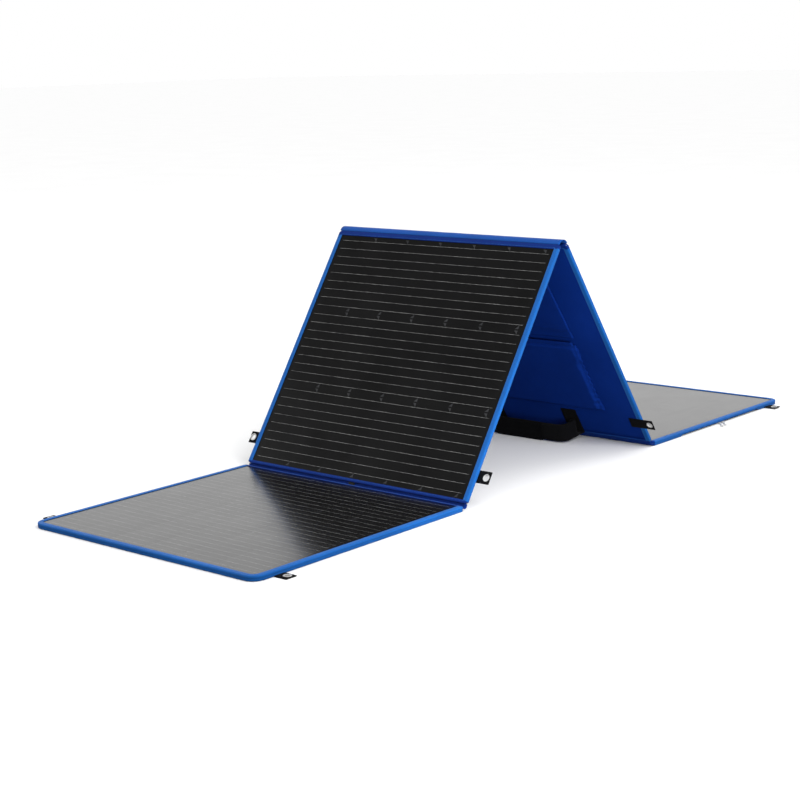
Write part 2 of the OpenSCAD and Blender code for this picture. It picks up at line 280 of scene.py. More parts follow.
ZIP_X, ZIP_S, ZIP_DEPTH = span(REAR_OUTER, "zip_track")
POUCH_X, POUCH_S, POUCH_DEPTH = span(REAR_INNER, "pouch")
ANCHOR_X, ANCHOR_S, ANCHOR_DEPTH = span(REAR_INNER, "handle_anchors")
STRIP_S, STRIP_DEPTH = span(REAR_INNER, "prop_hinge_strip")[1:]
BACK_DEPTH = POUCH_DEPTH[0]


def in_zip(panel, x, s, margin):
    """Whether a place is over the zip under the rear outer panel's edge."""
    return panel is REAR_OUTER and x > ZIP_X[0] - margin and ZIP_S[0] - margin < s < ZIP_S[1] + margin


# ---------------------------------------------------------------- material nodes


class Nodes:
    """A short way to write the nodes of a material or of the world."""

    def __init__(self, owner, shader, **fixed):
        owner.use_nodes = True
        self.owner = owner
        self.tree = owner.node_tree
        self.shader = self.tree.nodes[shader]
        for socket, value in fixed.items():
            self.shader.inputs[socket.replace("_", " ")].default_value = value

    def feed(self, socket, value):
        """Gives a socket a number, a colour or another node's output."""
        if isinstance(value, (int, float)):
            socket.default_value = value
        elif isinstance(value, tuple):
            socket.default_value = (*value, 1)
        else:
            self.tree.links.new(value, socket)

    def set(self, socket, source):
        self.feed(self.shader.inputs[socket], source)

    def node(self, kind, sockets=(), **settings):
        """A new node; sockets gives its inputs by name or number."""
        made = self.tree.nodes.new("ShaderNode" + kind)
        for name, value in settings.items():
            setattr(made, name, value)
        for socket, value in dict(sockets).items():
            self.feed(made.inputs[socket], value)
        return made

    def math(self, operation, *values):
        return self.node("Math", enumerate(values), operation=operation).outputs[0]

    def uv(self):
        """The piece's own texture places, in metres, as (u, v)."""
        parts = self.node("SeparateXYZ", {0: self.node("UVMap", uv_map="metres").outputs[0]})
        return parts.outputs[0], parts.outputs[1]

    def noise(self, scale, detail=3.0, roughness=0.55, stretch=(1, 1, 1)):
        place = self.node("Mapping", {0: self.node("TexCoord").outputs["Object"]})
        place.inputs["Scale"].default_value = stretch
        sockets = {"Vector": place.outputs[0], "Scale": scale, "Detail": detail, "Roughness": roughness}
        return self.node("TexNoise", sockets).outputs[0]

    def ramp(self, source, *stops):
        """Colours along source, each stop as (position, colour)."""
        made = self.node("ValToRGB", {0: source})
        elements = made.color_ramp.elements
        while len(elements) < len(stops):
            elements.new(0.5)
        for element, (position, colour) in zip(elements, stops):
            element.position = position
            element.color = (*colour, 1)
        return made.outputs[0]

    def mix(self, share, first, second, blend="MIX"):
        sockets = {0: share, 6: first, 7: second}
        return self.node("Mix", sockets, data_type="RGBA", blend_type=blend).outputs[2]

    def bump(self, height, distance, strength=1.0, below=None):
        sockets = {"Strength": strength, "Distance": distance, "Height": height}
        if below is not None:
            sockets["Normal"] = below
        return self.node("Bump", sockets).outputs[0]

    def range(self, source, low, high):
        return self.node("MapRange", {0: source, "To Min": low, "To Max": high}).outputs[0]


def surface(name, roughness, **fixed):
    """A new material's nodes; fixed gives plain values to its shader's sockets."""
    return Nodes(bpy.data.materials.new(name), "Principled BSDF", Roughness=roughness, **fixed)


def grey(level):
    return (level, level, level)


def weave_height(nodes, pitch):
    """Threads crossing over and under each other, one every pitch metres."""
    u, v = nodes.uv()
    turn = math.pi / pitch
    across = nodes.math("SINE", nodes.math("MULTIPLY", u, turn))
    along = nodes.math("SINE", nodes.math("MULTIPLY", v, turn))
    crossing = nodes.math("MULTIPLY", across, along)
    return nodes.math("MULTIPLY_ADD", crossing, 0.5, 0.5)


def woven(name, dark, light, pitch, roughness, sheen, worn=(0.3, 0.45, 0.75)):
    """Cloth with a plain weave, painted shade in its hollows, uneven dye and a little wear."""
    nodes = surface(name, roughness, Sheen_Weight=sheen, Sheen_Roughness=0.45, Specular_IOR_Level=0.12)
    height = weave_height(nodes, pitch)
    # Colour follows the weave's height: the low points are darker and the crests lighter, as painted shade in the
    # hollows between threads.
    colour = nodes.ramp(height, (0.15, dark), (0.85, light))
    shade = nodes.ramp(nodes.noise(9, 4), (0.3, grey(0.80)), (0.75, grey(1)))
    colour = nodes.mix(1.0, colour, shade, "MULTIPLY")
    specks = nodes.ramp(nodes.noise(260, 2), (0.70, grey(0)), (0.86, grey(1)))
    colour = nodes.mix(nodes.math("MULTIPLY", specks, 0.06), colour, worn)
    nodes.set("Base Color", colour)
    soft = nodes.bump(nodes.noise(45, 3), 0.5 * MM, 0.35)
    nodes.set("Normal", nodes.bump(height, 0.12 * MM, 0.8, soft))
    nodes.set("Roughness", nodes.range(nodes.noise(30, 3), roughness - 0.08, roughness + 0.08))
    return nodes.owner


def ribbed(name, dark, light, pitch, roughness, sheen):
    """Webbing: ribs across its length, with a finer thread in each and painted shade in the grooves."""
    nodes = surface(name, roughness, Sheen_Weight=sheen, Specular_IOR_Level=0.12)
    u, v = nodes.uv()
    rib = nodes.math("ABSOLUTE", nodes.math("SINE", nodes.math("MULTIPLY", u, math.pi / pitch)))
    thread = nodes.math("ABSOLUTE", nodes.math("SINE", nodes.math("MULTIPLY", v, 2 * math.pi / pitch)))
    height = nodes.math("MULTIPLY_ADD", thread, 0.3, rib)
    # Colour follows the rib height: the grooves are darker and the rib tops lighter, as painted shade in the grooves.
    nodes.set("Base Color", nodes.ramp(height, (0.2, dark), (1.0, light)))
    nodes.set("Normal", nodes.bump(height, 0.25 * MM, 0.8, nodes.bump(nodes.noise(60, 3), 0.4 * MM, 0.3)))
    nodes.set("Roughness", nodes.range(nodes.noise(40, 2), roughness - 0.07, roughness + 0.07))
    return nodes.owner


def laminate(name, dark, light, roughness, cloud_scale=6):
    """What lies under a clear film, whose surface has a fine dimpled grain."""
    nodes = surface(name, roughness, IOR=1.42, Coat_Weight=0.5, Coat_Roughness=0.16)
    cloud = nodes.noise(cloud_scale, 5, 0.6)
    grain = nodes.noise(900, 2, 0.6)
    colour = nodes.ramp(cloud, (0.3, dark), (0.75, light))
    streak = nodes.ramp(nodes.noise(30, 4, 0.6, (0.15, 1, 1)), (0.35, (0.85, 0.85, 0.88)), (0.7, grey(1)))
    nodes.set("Base Color", nodes.mix(1.0, colour, streak, "MULTIPLY"))
    wave = nodes.bump(nodes.noise(16, 2, 0.5), 0.6 * MM, 0.20)
    nodes.set("Normal", nodes.bump(grain, 0.03 * MM, 0.35, wave))
    nodes.set("Roughness", nodes.range(nodes.noise(12, 4), roughness - 0.05, roughness + 0.06))
    return nodes.owner


def metal(name, dark, light, roughness):
    """Satin plated metal with fine brushing and duller patches."""
    nodes = surface(name, roughness, Metallic=0.5)
    tone = nodes.noise(120, 4)
    brushed = nodes.noise(700, 3, 0.6, (0.1, 1, 1))
    nodes.set("Base Color", nodes.ramp(tone, (0.3, dark), (0.7, light)))
    nodes.set("Normal", nodes.bump(brushed, 0.03 * MM, 0.4))
    nodes.set("Roughness", nodes.range(tone, roughness - 0.1, roughness + 0.12))
    return nodes.owner


def moulded(name, dark, light, roughness, scale=350):
    """Moulded plastic, rubber or board with a fine grain."""
    nodes = surface(name, roughness)
    grain = nodes.noise(scale, 3)
    nodes.set("Base Color", nodes.ramp(nodes.noise(25, 4), (0.3, dark), (0.7, light)))
    nodes.set("Normal", nodes.bump(grain, 0.08 * MM, 0.5))
    nodes.set("Roughness", nodes.range(grain, roughness - 0.08, roughness + 0.08))
    return nodes.owner


AZURE = woven("binding_tape", (0.006, 0.085, 0.36), (0.015, 0.17, 0.58), 0.7 * MM, 0.52, 0.06)
AZURE_THREAD = woven("blue_thread", (0.02, 0.13, 0.48), (0.04, 0.24, 0.72), 0.3 * MM, 0.5, 0.1)
NAVY = woven("back_cloth", (0.002, 0.022, 0.19), (0.006, 0.046, 0.36), 0.6 * MM, 0.75, 0.0)
# Darker blue cloth for the foot folds: partly the cloth's own colour, partly painted shade of the crease. The
# binding's ends at the ridge and along the folds also take it as painted shade.
FOLD_CLOTH_AND_CREASE_SHADE = woven("fold_cloth", (0.002, 0.020, 0.15), (0.005, 0.038, 0.28), 0.7 * MM, 0.7, 0.03)
RIDGE_CLOTH = woven("ridge_cloth", (0.004, 0.055, 0.30), (0.012, 0.120, 0.52), 0.7 * MM, 0.6, 0.08)
CELL_BLACK = laminate("cell_face", (0.0025, 0.0025, 0.0026), (0.006, 0.006, 0.0062), 0.22)
GAP_BLACK = laminate("gap_face", (0.003, 0.003, 0.0033), (0.007, 0.007, 0.0074), 0.23)
CORNER_BLACK = laminate("cut_corner_face", (0.030, 0.031, 0.033), (0.050, 0.051, 0.054), 0.26)
WIRE = laminate("bus_wire", grey(0.12), (0.62, 0.62, 0.60), 0.24, 90)
BLACK_WEB = ribbed("black_webbing", (0.0015, 0.0015, 0.002), (0.006, 0.006, 0.007), 1.6 * MM, 0.8, 0.02)
NICKEL = metal("nickel", (0.72, 0.72, 0.71), (0.95, 0.95, 0.93), 0.30)
SLEEVE = woven("grip_sleeve", (0.0015, 0.0015, 0.002), (0.005, 0.005, 0.006), 1.1 * MM, 0.8, 0.02,
               grey(0.03))
BLACK_PLASTIC = moulded("black_plastic", (0.008, 0.008, 0.009), (0.018, 0.018, 0.019), 0.5)
BOARD = moulded("stiffener_board", (0.22, 0.22, 0.21), (0.32, 0.32, 0.31), 0.75, 120)
SHEET_BLACK = moulded("backsheet", (0.010, 0.010, 0.011), (0.020, 0.020, 0.021), 0.45)
RUBBER = moulded("lead_jacket", grey(0.008), grey(0.016), 0.62)
SLOT_MATERIALS = {
    "clear_film": CELL_BLACK, "bus_wire": WIRE, "cell": CELL_BLACK, "backsheet": SHEET_BLACK,
    "stiffener": BOARD, "back_fabric": NAVY, "edge_binding": AZURE, "black_plastic": BLACK_PLASTIC,
    "webbing": BLACK_WEB, "eyelet_metal": NICKEL, "lead_jacket": RUBBER, "zip_tape": BLACK_WEB,
    "zip_metal": NICKEL,
}


def finish_cad_nodes():
    """Gives every carried-over CAD node the material of its slot."""
    for part in frame["record"]["subparts"]:
        mesh = frame["nodes"][part["node"]].data
        mesh.materials.clear()
        mesh.materials.append(SLOT_MATERIALS[part["material_slot"]])


# ---------------------------------------------------------------- mesh building


class Shape:
    """Points, their texture places and faces, gathered before they become one mesh."""

    def __init__(self):
        self.points = []
        self.places = []
        self.faces = []
        self.kinds = []

    def add(self, point, u, v):
        self.points.append(tuple(point))
        self.places.append((u, v))
        return len(self.points) - 1

    def face(self, corners, kind=0):
        if len(set(corners)) > 2:
            self.faces.append(tuple(corners))
            self.kinds.append(kind)

    def grid(self, rows, closed=False, kind=0):
        """Quads between rows of point numbers; closed joins each row's end to its start."""
        for first, second in zip(rows, rows[1:]):
            count = len(first)
            for i in range(count if closed else count - 1):
                j = (i + 1) % count
                self.face((first[i], first[j], second[j], second[i]), kind)

    def tube(self, rings):
        """A closed skin through rings of point numbers, capped at both ends."""
        self.grid(rings, closed=True)
        self.face(tuple(reversed(rings[0])))
        self.face(tuple(rings[-1]))

    def build(self, name, materials, slot, body=None, thickness=0.0, smooth=True):
        mesh = bpy.data.meshes.new(name)
        mesh.from_pydata(self.points, [], self.faces)
        layer = mesh.uv_layers.new(name="metres")
        for loop in mesh.loops:
            layer.data[loop.index].uv = self.places[loop.vertex_index]
        mesh.polygons.foreach_set("material_index", self.kinds)
        mesh.polygons.foreach_set("use_smooth", [smooth] * len(mesh.polygons))
        for material in materials:
            mesh.materials.append(material)
        work = bmesh.new()
        work.from_mesh(mesh)
        if thickness:
            bmesh.ops.solidify(work, geom=work.faces[:], thickness=thickness)
        bmesh.ops.recalc_face_normals(work, faces=work.faces[:])
        work.to_mesh(mesh)
        work.free()
        piece = bpy.data.objects.new(name, mesh)
        bpy.context.scene.collection.objects.link(piece)
        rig.slot(piece, slot)
        if body:
            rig.ride(piece, body)
        return piece


def steps(low, high, count):
    return [low + (high - low) * i / count for i in range(count + 1)]


def ripple(x, y, seed, scale):
    """A smooth unevenness from about -1 to 1."""
    return noise.noise(Vector((x / scale, y / scale, seed)))


def outline(panel):
    """Points round a panel's outline, about a tape step apart, starting at the fold side."""
    near = FOLD_CORNER
    far = panel.far_corner
    centres = (
        (HALF_WIDTH - near, FOLD_GAP + near, near, -90),
        (HALF_WIDTH - far, FAR_END - far, far, 0),
        (far - HALF_WIDTH, FAR_END - far, far, 90),
        (near - HALF_WIDTH, FOLD_GAP + near, near, 180),
    )
    corners = []
    for x, s, radius, start in centres:
        turns = max(4, round(radius * math.pi / 2 / TAPE_STEP))
        for angle in steps(math.radians(start), math.radians(start + 90), turns):
            corners.append(Vector((x + radius * math.cos(angle), s + radius * math.sin(angle))))
    path = []
    for first, second in zip(corners, corners[1:] + corners[:1]):
        count = max(1, round((second - first).length / TAPE_STEP))
        path += [first.lerp(second, i / count) for i in range(count)]
    return path


def even(path, pitch):
    """The closed path again, as points exactly the same distance apart with their direction."""
    loop = path + path[:1]
    lengths = [(b - a).length for a, b in zip(loop, loop[1:])]
    count = round(sum(lengths) / pitch)
    found = []
    part = 0
    passed = 0.0
    for i in range(count):
        target = sum(lengths) * i / count
        while passed + lengths[part] < target:
            passed += lengths[part]
            part += 1
        way = (loop[part + 1] - loop[part]).normalized()
        found.append((loop[part] + way * (target - passed), way))
    return found


def round_in(x, s, half, low, high, r_low, r_high):
    """The nearest place inside a rectangle with round corners, and how far it is from the edge."""
    x = max(-half, min(half, x))
    s = max(low, min(high, s))
    at_low = s < (low + high) / 2
    radius = r_low if at_low else r_high
    centre_s = low + radius if at_low else high - radius
    away = Vector((abs(x) - (half - radius), centre_s - s if at_low else s - centre_s))
    if away.x <= 0 or away.y <= 0:
        return x, s, min(half - abs(x), s - low, high - s)
    if away.length > radius:
        away = away.normalized() * radius
        x = math.copysign(half - radius + away.x, x)
        s = centre_s - away.y if at_low else centre_s + away.y
    return x, s, radius - away.length


def inside(panel, x, s, inset):
    """The nearest place that is within the panel's outline drawn in by inset."""
    near = max(FOLD_CORNER - inset, SHARP_CORNER)
    far = max(panel.far_corner - inset, SHARP_CORNER)
    return round_in(x, s, HALF_WIDTH - inset, FOLD_GAP + inset, FAR_END - inset, near, far)[:2]


# ---------------------------------------------------------------- camera, floor and light

CAMERA_AZIMUTH = math.radians(41.006)
CAMERA_ELEVATION = math.radians(11.473)
CAMERA_ROLL = math.radians(-1.507)
CAMERA_DISTANCE = 3.4411
CAMERA_AIM = Vector((0, 0, 0.2))
CAMERA_ASIDE = -0.1012
CAMERA_UP = -0.0802
CAMERA_LENS = 77.69
CAMERA_SENSOR = 36
FLOOR_REACH = 40.0
FLOOR_DROP = 0.2 * MM


def make_camera():
    """The camera looks along +Y when its azimuth is 0, and moves towards +X as it grows."""
    across = math.cos(CAMERA_ELEVATION)
    forward = Vector((-math.sin(CAMERA_AZIMUTH) * across, math.cos(CAMERA_AZIMUTH) * across,
                      -math.sin(CAMERA_ELEVATION)))
    right = forward.cross(Vector((0, 0, 1))).normalized()
    up = right.cross(forward)
    roll = Matrix.Rotation(-CAMERA_ROLL, 3, forward)
    right = roll @ right
    up = roll @ up
    place = CAMERA_AIM - forward * CAMERA_DISTANCE + CAMERA_ASIDE * right + CAMERA_UP * up
    data = bpy.data.cameras.new("camera")
    data.lens = CAMERA_LENS
    data.sensor_width = CAMERA_SENSOR
    data.clip_end = 2 * FLOOR_REACH
    camera = bpy.data.objects.new("camera", data)
    turn = Matrix((right, up, -forward)).transposed()
    camera.matrix_world = Matrix.Translation(place) @ turn.to_4x4()
    bpy.context.scene.collection.objects.link(camera)
    bpy.context.scene.camera = camera


def make_floor():
    """A plain pale floor, far wider than the blanket; it throws little light back up."""
    nodes = surface("pale_floor", 0.9, Specular_IOR_Level=0.0)
    seen = nodes.ramp(nodes.noise(3, 3), (0.3, grey(0.97)), (0.7, grey(0.99)))
    is_camera_ray = nodes.node("LightPath").outputs["Is Camera Ray"]
    nodes.set("Base Color", nodes.mix(is_camera_ray, grey(0.10), seen))
    shape = Shape()
    places = steps(-FLOOR_REACH, FLOOR_REACH, 8)
    shape.grid([[shape.add((x, y, -FLOOR_DROP), x, y) for x in places] for y in places])
    floor = shape.build("floor", [nodes.owner], None)
    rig.stage(floor)


def add_light(name, place, aim, size, power):
    """A soft round lamp that neither the camera nor a reflection sees."""
    data = bpy.data.lights.new(name, "AREA")
    data.shape = "DISK"
    data.size = size
    data.energy = power
    light = bpy.data.objects.new(name, data)
    way = Vector(aim) - Vector(place)
    light.matrix_world = Matrix.Translation(place) @ way.to_track_quat("-Z", "Y").to_matrix().to_4x4()
    light.visible_glossy = False
    light.visible_camera = False
    bpy.context.scene.collection.objects.link(light)


def make_world():
    """An even white fill, whose reflections are white near the ground and dark overhead."""
    world = bpy.data.worlds.new("studio")
    bpy.context.scene.world = world
    nodes = Nodes(world, "Background", Strength=1.0)
    parts = nodes.node("SeparateXYZ", {0: nodes.node("TexCoord").outputs["Generated"]})
    near = grey(0.95)
    overhead = grey(0.10)
    reflected = nodes.ramp(parts.outputs[2], (0.0, near), (0.34, near), (0.56, overhead), (1.0, overhead))
    nodes.set("Color", nodes.mix(nodes.node("LightPath").outputs["Is Glossy Ray"], grey(1.0), reflected))


def make_lights():
    """A key lamp, one from behind and a small one near the tent's open end."""
    add_light("key", (3.6, -1.2, 3.2), (0, 0, 0.2), 2.4, 90)
    add_light("back", (1.5, 4.0, 2.8), (0, 0.4, 0.2), 2.5, 40)
    add_light("fill", (0.80, -0.30, 0.16), (0.1, 0.2, 0.2), 0.25, 3.4)
    bpy.context.scene.view_settings.view_transform = "Standard"


# ---------------------------------------------------------------- the panels' faces

FACE_DEPTH = 1.15 * MM
FACE_SWELL = 0.22 * MM
GAP_SINK = 0.006 * MM
SOFT_EDGE = 0.45 * MM
WIRE_WIDTH = 0.85 * MM
WIRE_PROUD = 0.03 * MM
WIRE_SUNK = 0.03 * MM
WIRE_STEP = 7 * MM
CELL, GAP, CUT_CORNER = range(3)


def face_lines(start, count, size, gap, within):
    """The lines across a run of cells, each cell having the same lines within it."""
    return [start + i * (size + gap) + w for i in range(count) for w in within]


def face_depth(panel, x, s):
    """The laminate's depth, which is a little uneven but lies flat under the binding."""
    edge_x = max(0.0, 1 - (abs(x) / (HALF_WIDTH - LAP)) ** 6)
    edge_s = max(0.0, 1 - (abs(2 * s - FAR_END) / (FAR_END - LAP)) ** 6)
    uneven = ripple(x, s, panel.seed, 0.17) + 0.5 * ripple(x, s, panel.seed + 5, 0.06)
    return FACE_DEPTH - FACE_SWELL * edge_x * edge_s * uneven


def cell_columns():
    """The lines up the panel: each cell's edges, its cut corners' start and two between."""
    return face_lines(-BLOCK_HALF, COLUMNS, CELL_WIDTH, CELL_GAP,
                      [0, SOFT_EDGE, CELL_WIDTH / 3, 2 * CELL_WIDTH / 3, CELL_WIDTH - CHAMFER,
                       CELL_WIDTH - SOFT_EDGE, CELL_WIDTH])


def wire_places():
    """The distance of every wire from the fold's axis, row by row."""
    pitch = CELL_LENGTH / WIRES_PER_ROW
    return [BLOCK_START + row * (CELL_LENGTH + ROW_GAP) + (i + 0.5) * pitch
            for row in range(ROWS) for i in range(WIRES_PER_ROW)]


def in_one_cell(x, s):
    """A place's distance from the low corner of its own cell, along the fold and up."""
    return (x + BLOCK_HALF) % (CELL_WIDTH + CELL_GAP), (s - BLOCK_START) % (CELL_LENGTH + ROW_GAP)


def in_cells(x, s):
    """Whether a place is on a cell, away from the gaps between them."""
    along, up = in_one_cell(x, s)
    within_block = -BLOCK_HALF < x < BLOCK_HALF and BLOCK_START < s < BLOCK_END
    margin = SOFT_EDGE / 2
    return within_block and margin < along < CELL_WIDTH - margin and margin < up < CELL_LENGTH - margin


def panel_rows(shape, panel, across, up, depth):
    """Rows of points over a panel within its binding's wall, as deep as depth(x, s) says."""
    rows = []
    for s in up:
        row = []
        for x in across:
            place_x, place_s = inside(panel, x, s, WALL)
            row.append(shape.add(panel.at(place_x, place_s, depth(place_x, place_s)), x, s))
        rows.append(row)
    return rows


def make_face(panel):
    """The laminate: cells with cut corners, a little proud of the gaps round them."""
    edge = HALF_WIDTH - WALL
    pitch = CELL_LENGTH / WIRES_PER_ROW
    within = [0, SOFT_EDGE, CHAMFER] + [(i + 0.5) * pitch for i in range(1, WIRES_PER_ROW - 1)]
    within += [CELL_LENGTH - CHAMFER, CELL_LENGTH - SOFT_EDGE, CELL_LENGTH]
    across = [-edge, -HALF_WIDTH + LAP] + cell_columns() + [HALF_WIDTH - LAP, edge]
    up = [FOLD_GAP + WALL, FOLD_GAP + FOLD_LAP, FAR_END - LAP, FAR_END - WALL]
    up = sorted(set(up + face_lines(BLOCK_START, ROWS, CELL_LENGTH, ROW_GAP, within)))

    def depth(x, s):
        return face_depth(panel, x, s) + (0 if in_cells(x, s) else GAP_SINK)

    shape = Shape()
    rows = panel_rows(shape, panel, across, up, depth)
    for j in range(len(up) - 1):
        for i in range(len(across) - 1):
            add_face_cell(shape, rows, across, up, i, j)
    face = shape.build(panel.name + "_laminate", [CELL_BLACK, GAP_BLACK, CORNER_BLACK], "clear_film",
                       panel.body)
    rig.replaces(face, panel.name + "_film", panel.name + "_cells")


def add_face_cell(shape, rows, across, up, i, j):
    """One square of the face; a cell's cut corner splits its square into cell and gap."""
    corners = (rows[j][i], rows[j][i + 1], rows[j + 1][i + 1], rows[j + 1][i])
    middle_x = (across[i] + across[i + 1]) / 2
    middle_s = (up[j] + up[j + 1]) / 2
    along, way = in_one_cell(middle_x, middle_s)
    at_cut = CELL_WIDTH - CHAMFER < along < CELL_WIDTH - SOFT_EDGE
    if not in_cells(middle_x, middle_s):
        shape.face(corners, GAP)
    elif at_cut and SOFT_EDGE < way < CHAMFER:
        shape.face((corners[0], corners[2], corners[3]), CELL)
        shape.face((corners[0], corners[1], corners[2]), CUT_CORNER)
    elif at_cut and CELL_LENGTH - CHAMFER < way < CELL_LENGTH - SOFT_EDGE:
        shape.face((corners[0], corners[1], corners[3]), CELL)
        shape.face((corners[1], corners[2], corners[3]), CUT_CORNER)
    else:
        shape.face(corners, CELL)


def make_wires(panel):
    """The round-topped wires that run across the cells, under the film."""
    columns = [-WIRE_HALF] + cell_columns() + [WIRE_HALF]
    fine = []
    for a, b in zip(columns, columns[1:]):
        fine += steps(a, b, max(1, round((b - a) / WIRE_STEP)))[:-1]
    fine.append(WIRE_HALF)
    shape = Shape()
    for s in wire_places():
        rows = []
        for x in fine:
            at_end = x in (fine[0], fine[-1])
            half = WIRE_WIDTH / 2 * (0.5 if at_end else 1.0)
            face = face_depth(panel, x, s)
            proud = 2 / 3 * WIRE_PROUD if at_end else WIRE_PROUD
            wobble = 0.12 * MM * ripple(x, s, panel.seed, 0.02)
            section = ((-half, face + WIRE_SUNK), (0, face - proud), (half, face + WIRE_SUNK))
            rows.append([shape.add(panel.at(x, s + wobble + aside, depth), x, s) for aside, depth in section])
        shape.grid(rows)
    wires = shape.build(panel.name + "_wires", [WIRE], "bus_wire", panel.body)
    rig.replaces(wires, panel.name + "_busbars")


# ---------------------------------------------------------------- edges and backs

BACK_CLOTH = 0.6 * MM
PUFF_REACH = 45 * MM
ZIP_MARGINS = (1.2 * MM, 0.4 * MM)


def binding_profile(thick):
    """The tape's section: (share of the way in from the edge to the lap's end, depth, out)."""
    roll = 0.9 * MM
    tuck = LAP_THICK - 0.1 * MM
    return (
        (1.0, tuck, 0),
        (0.99, 0.12 * MM, 0),
        (0.90, -0.02 * MM, 0),
        (0.55, -0.12 * MM, 0),
        (0.22, -0.05 * MM, 0),
        (0.08, 0.25 * MM, 0),
        (0.0, roll, 0.15 * MM),
        (0.0, thick * 0.28, 0.45 * MM),
        (0.0, thick * 0.48, 0.30 * MM),
        (0.0, thick * 0.56, -0.35 * MM),
        (0.0, thick * 0.66, -0.10 * MM),
        (0.0, thick - roll, -0.05 * MM),
        (0.08, thick - 0.25 * MM, 0),
        (0.22, thick, 0),
        (0.55, thick, 0),
        (0.90, thick - 0.05 * MM, 0),
        (0.99, thick - 0.15 * MM, 0),
        (1.0, thick - tuck, 0),
    )


def lap_end(panel, x, s):
    """Where the binding's lap ends, on the way in from a place on the outline."""
    far = max(panel.far_corner - LAP, SHARP_CORNER)
    return Vector(round_in(x, s, HALF_WIDTH - LAP, FOLD_GAP + FOLD_LAP, FAR_END - LAP, 0, far)[:2])


def make_binding(panel):
    """The tape folded over the edge all round, a little puckered by its stitching."""
    shape = Shape()
    profile = binding_profile(panel.thick)
    path = even(outline(panel), TAPE_STEP)
    rows = []
    gone = 0.0
    for place, way in path:
        outward = Vector((way.y, -way.x))
        end = lap_end(panel, place.x, place.y)
        pucker = 0.22 * MM * ripple(place.x, place.y, panel.seed, 0.02)
        row = []
        across = 0.0
        for share, depth, out in profile:
            if in_zip(panel, place.x, place.y, 0):
                depth = min(depth, ZIP_DEPTH[0] - 0.1 * MM)
            spot = place.lerp(end, share) + outward * (out + (pucker if share < 0.1 else 0))
            lift = pucker * (1 - share) * (1 if depth < panel.thick / 2 else -1)
            lift = lift if 0.1 < share < 0.95 and depth < panel.thick / 2 else 0
            row.append(shape.add(panel.at(spot.x, spot.y, depth - lift), gone, across))
            across += 1.5 * MM
        rows.append(row)
        gone += TAPE_STEP
    rows.append(rows[0])
    shape.grid(rows)
    # Painted shade: the binding's faces at the inner panels' ridge end and along every fold side take the darker fold
    # cloth. This stands in for the shade where the tape runs into the crease, and at the ridge it also reads as one
    # wide strip of cloth.
    for number, corners in enumerate(shape.faces):
        ups = [(Vector(shape.points[c]) - panel.fold).dot(panel.up_way) for c in corners]
        at_ridge = panel.thick == INNER_THICK and min(ups) > FAR_END - LAP - 1 * MM
        if at_ridge or max(ups) < FOLD_GAP + FOLD_LAP + 1 * MM:
            shape.kinds[number] = 1
    piece = shape.build(panel.name + "_edge_tape", [AZURE, FOLD_CLOTH_AND_CREASE_SHADE], "edge_binding", panel.body)
    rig.replaces(piece, panel.name + "_binding")
    width = 2 * LAP + panel.thick
    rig.sheet(piece, flat=(TAPE_STEP * len(path), width), held="stretched", rests_on=[panel.name + "_board"])


def add_stitch(shape, middle, along, aside, up, length, width, height):
    """One stitch: a small raised roof of thread."""
    ends = (middle - along * length / 2, middle + along * length / 2)
    base = [shape.add(end + aside * side * width / 2, 0, side * width) for end in ends for side in (-1, 1)]
    top = [shape.add(end.lerp(middle, 0.3) + up * height, 0, 0) for end in ends]
    shape.face((base[0], base[2], top[1], top[0]))
    shape.face((base[3], base[1], top[0], top[1]))
    shape.face((base[1], base[0], top[0]))
    shape.face((base[2], base[3], top[1]))
    shape.face((base[0], base[1], base[3], base[2]))


def make_binding_stitches(panel):
    """The stitch line that holds the binding, on the face and on the back."""
    shape = Shape()
    inset = 2.2 * MM
    for front in (True, False):
        up = panel.out_way if front else -panel.out_way
        for place, way in even(outline(panel), STITCH_PITCH):
            end = lap_end(panel, place.x, place.y)
            reach = (end - place).length
            spot = place.lerp(end, max(0.0, 1 - inset / reach))
            depth = 0.02 * MM if front else panel.thick - 0.02 * MM
            along = panel.x_way * way.x + panel.up_way * way.y
            aside = along.cross(panel.out_way)
            if reach > inset and (front or not in_zip(panel, place.x, place.y, 2 * MM)):
                add_stitch(shape, panel.at(spot.x, spot.y, depth), along, aside, up,
                           0.72 * STITCH_PITCH, 0.6 * MM, 0.28 * MM)
    shape.build(panel.name + "_edge_stitching", [AZURE_THREAD], "edge_binding", panel.body, smooth=False)


def back_depth(panel, x, s, puff):
    """The back cloth's depth: it stands proud a little between its sewn edges."""
    if in_zip(panel, x, s, 0.5 * MM):
        return BACK_DEPTH
    edge = min(HALF_WIDTH - LAP - abs(x), s - FOLD_GAP - FOLD_LAP, FAR_END - LAP - s)
    rise = max(0.0, min(1.0, edge / PUFF_REACH))
    rise = rise * rise * (3 - 2 * rise)
    uneven = 0.6 + 0.4 * ripple(x, s, panel.seed + 3, 0.09)
    return panel.thick - LAP_THICK + puff * rise * uneven


def make_back(panel, puff, nodes):
    """The cloth over a panel's back."""
    across = steps(-HALF_WIDTH + WALL, HALF_WIDTH - WALL, 44)
    up = steps(FOLD_GAP + WALL, FAR_END - WALL, 42)
    if panel is REAR_OUTER:
        across = sorted(across + [ZIP_X[0] - out for out in ZIP_MARGINS])
        up = sorted(up + [end + way * out for end, way in zip(ZIP_S, (-1, 1)) for out in ZIP_MARGINS])
    shape = Shape()
    shape.grid(panel_rows(shape, panel, across, up,
                          lambda x, s: back_depth(panel, x, s, puff) - BACK_CLOTH))
    piece = shape.build(panel.name + "_back_cloth", [NAVY], "back_fabric", panel.body, thickness=BACK_CLOTH)
    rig.replaces(piece, *nodes)
    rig.sheet(piece, flat=(2 * HALF_WIDTH, FAR_END - FOLD_GAP), held="stretched",
             rests_on=[panel.name + "_board"])


# ---------------------------------------------------------------- folds


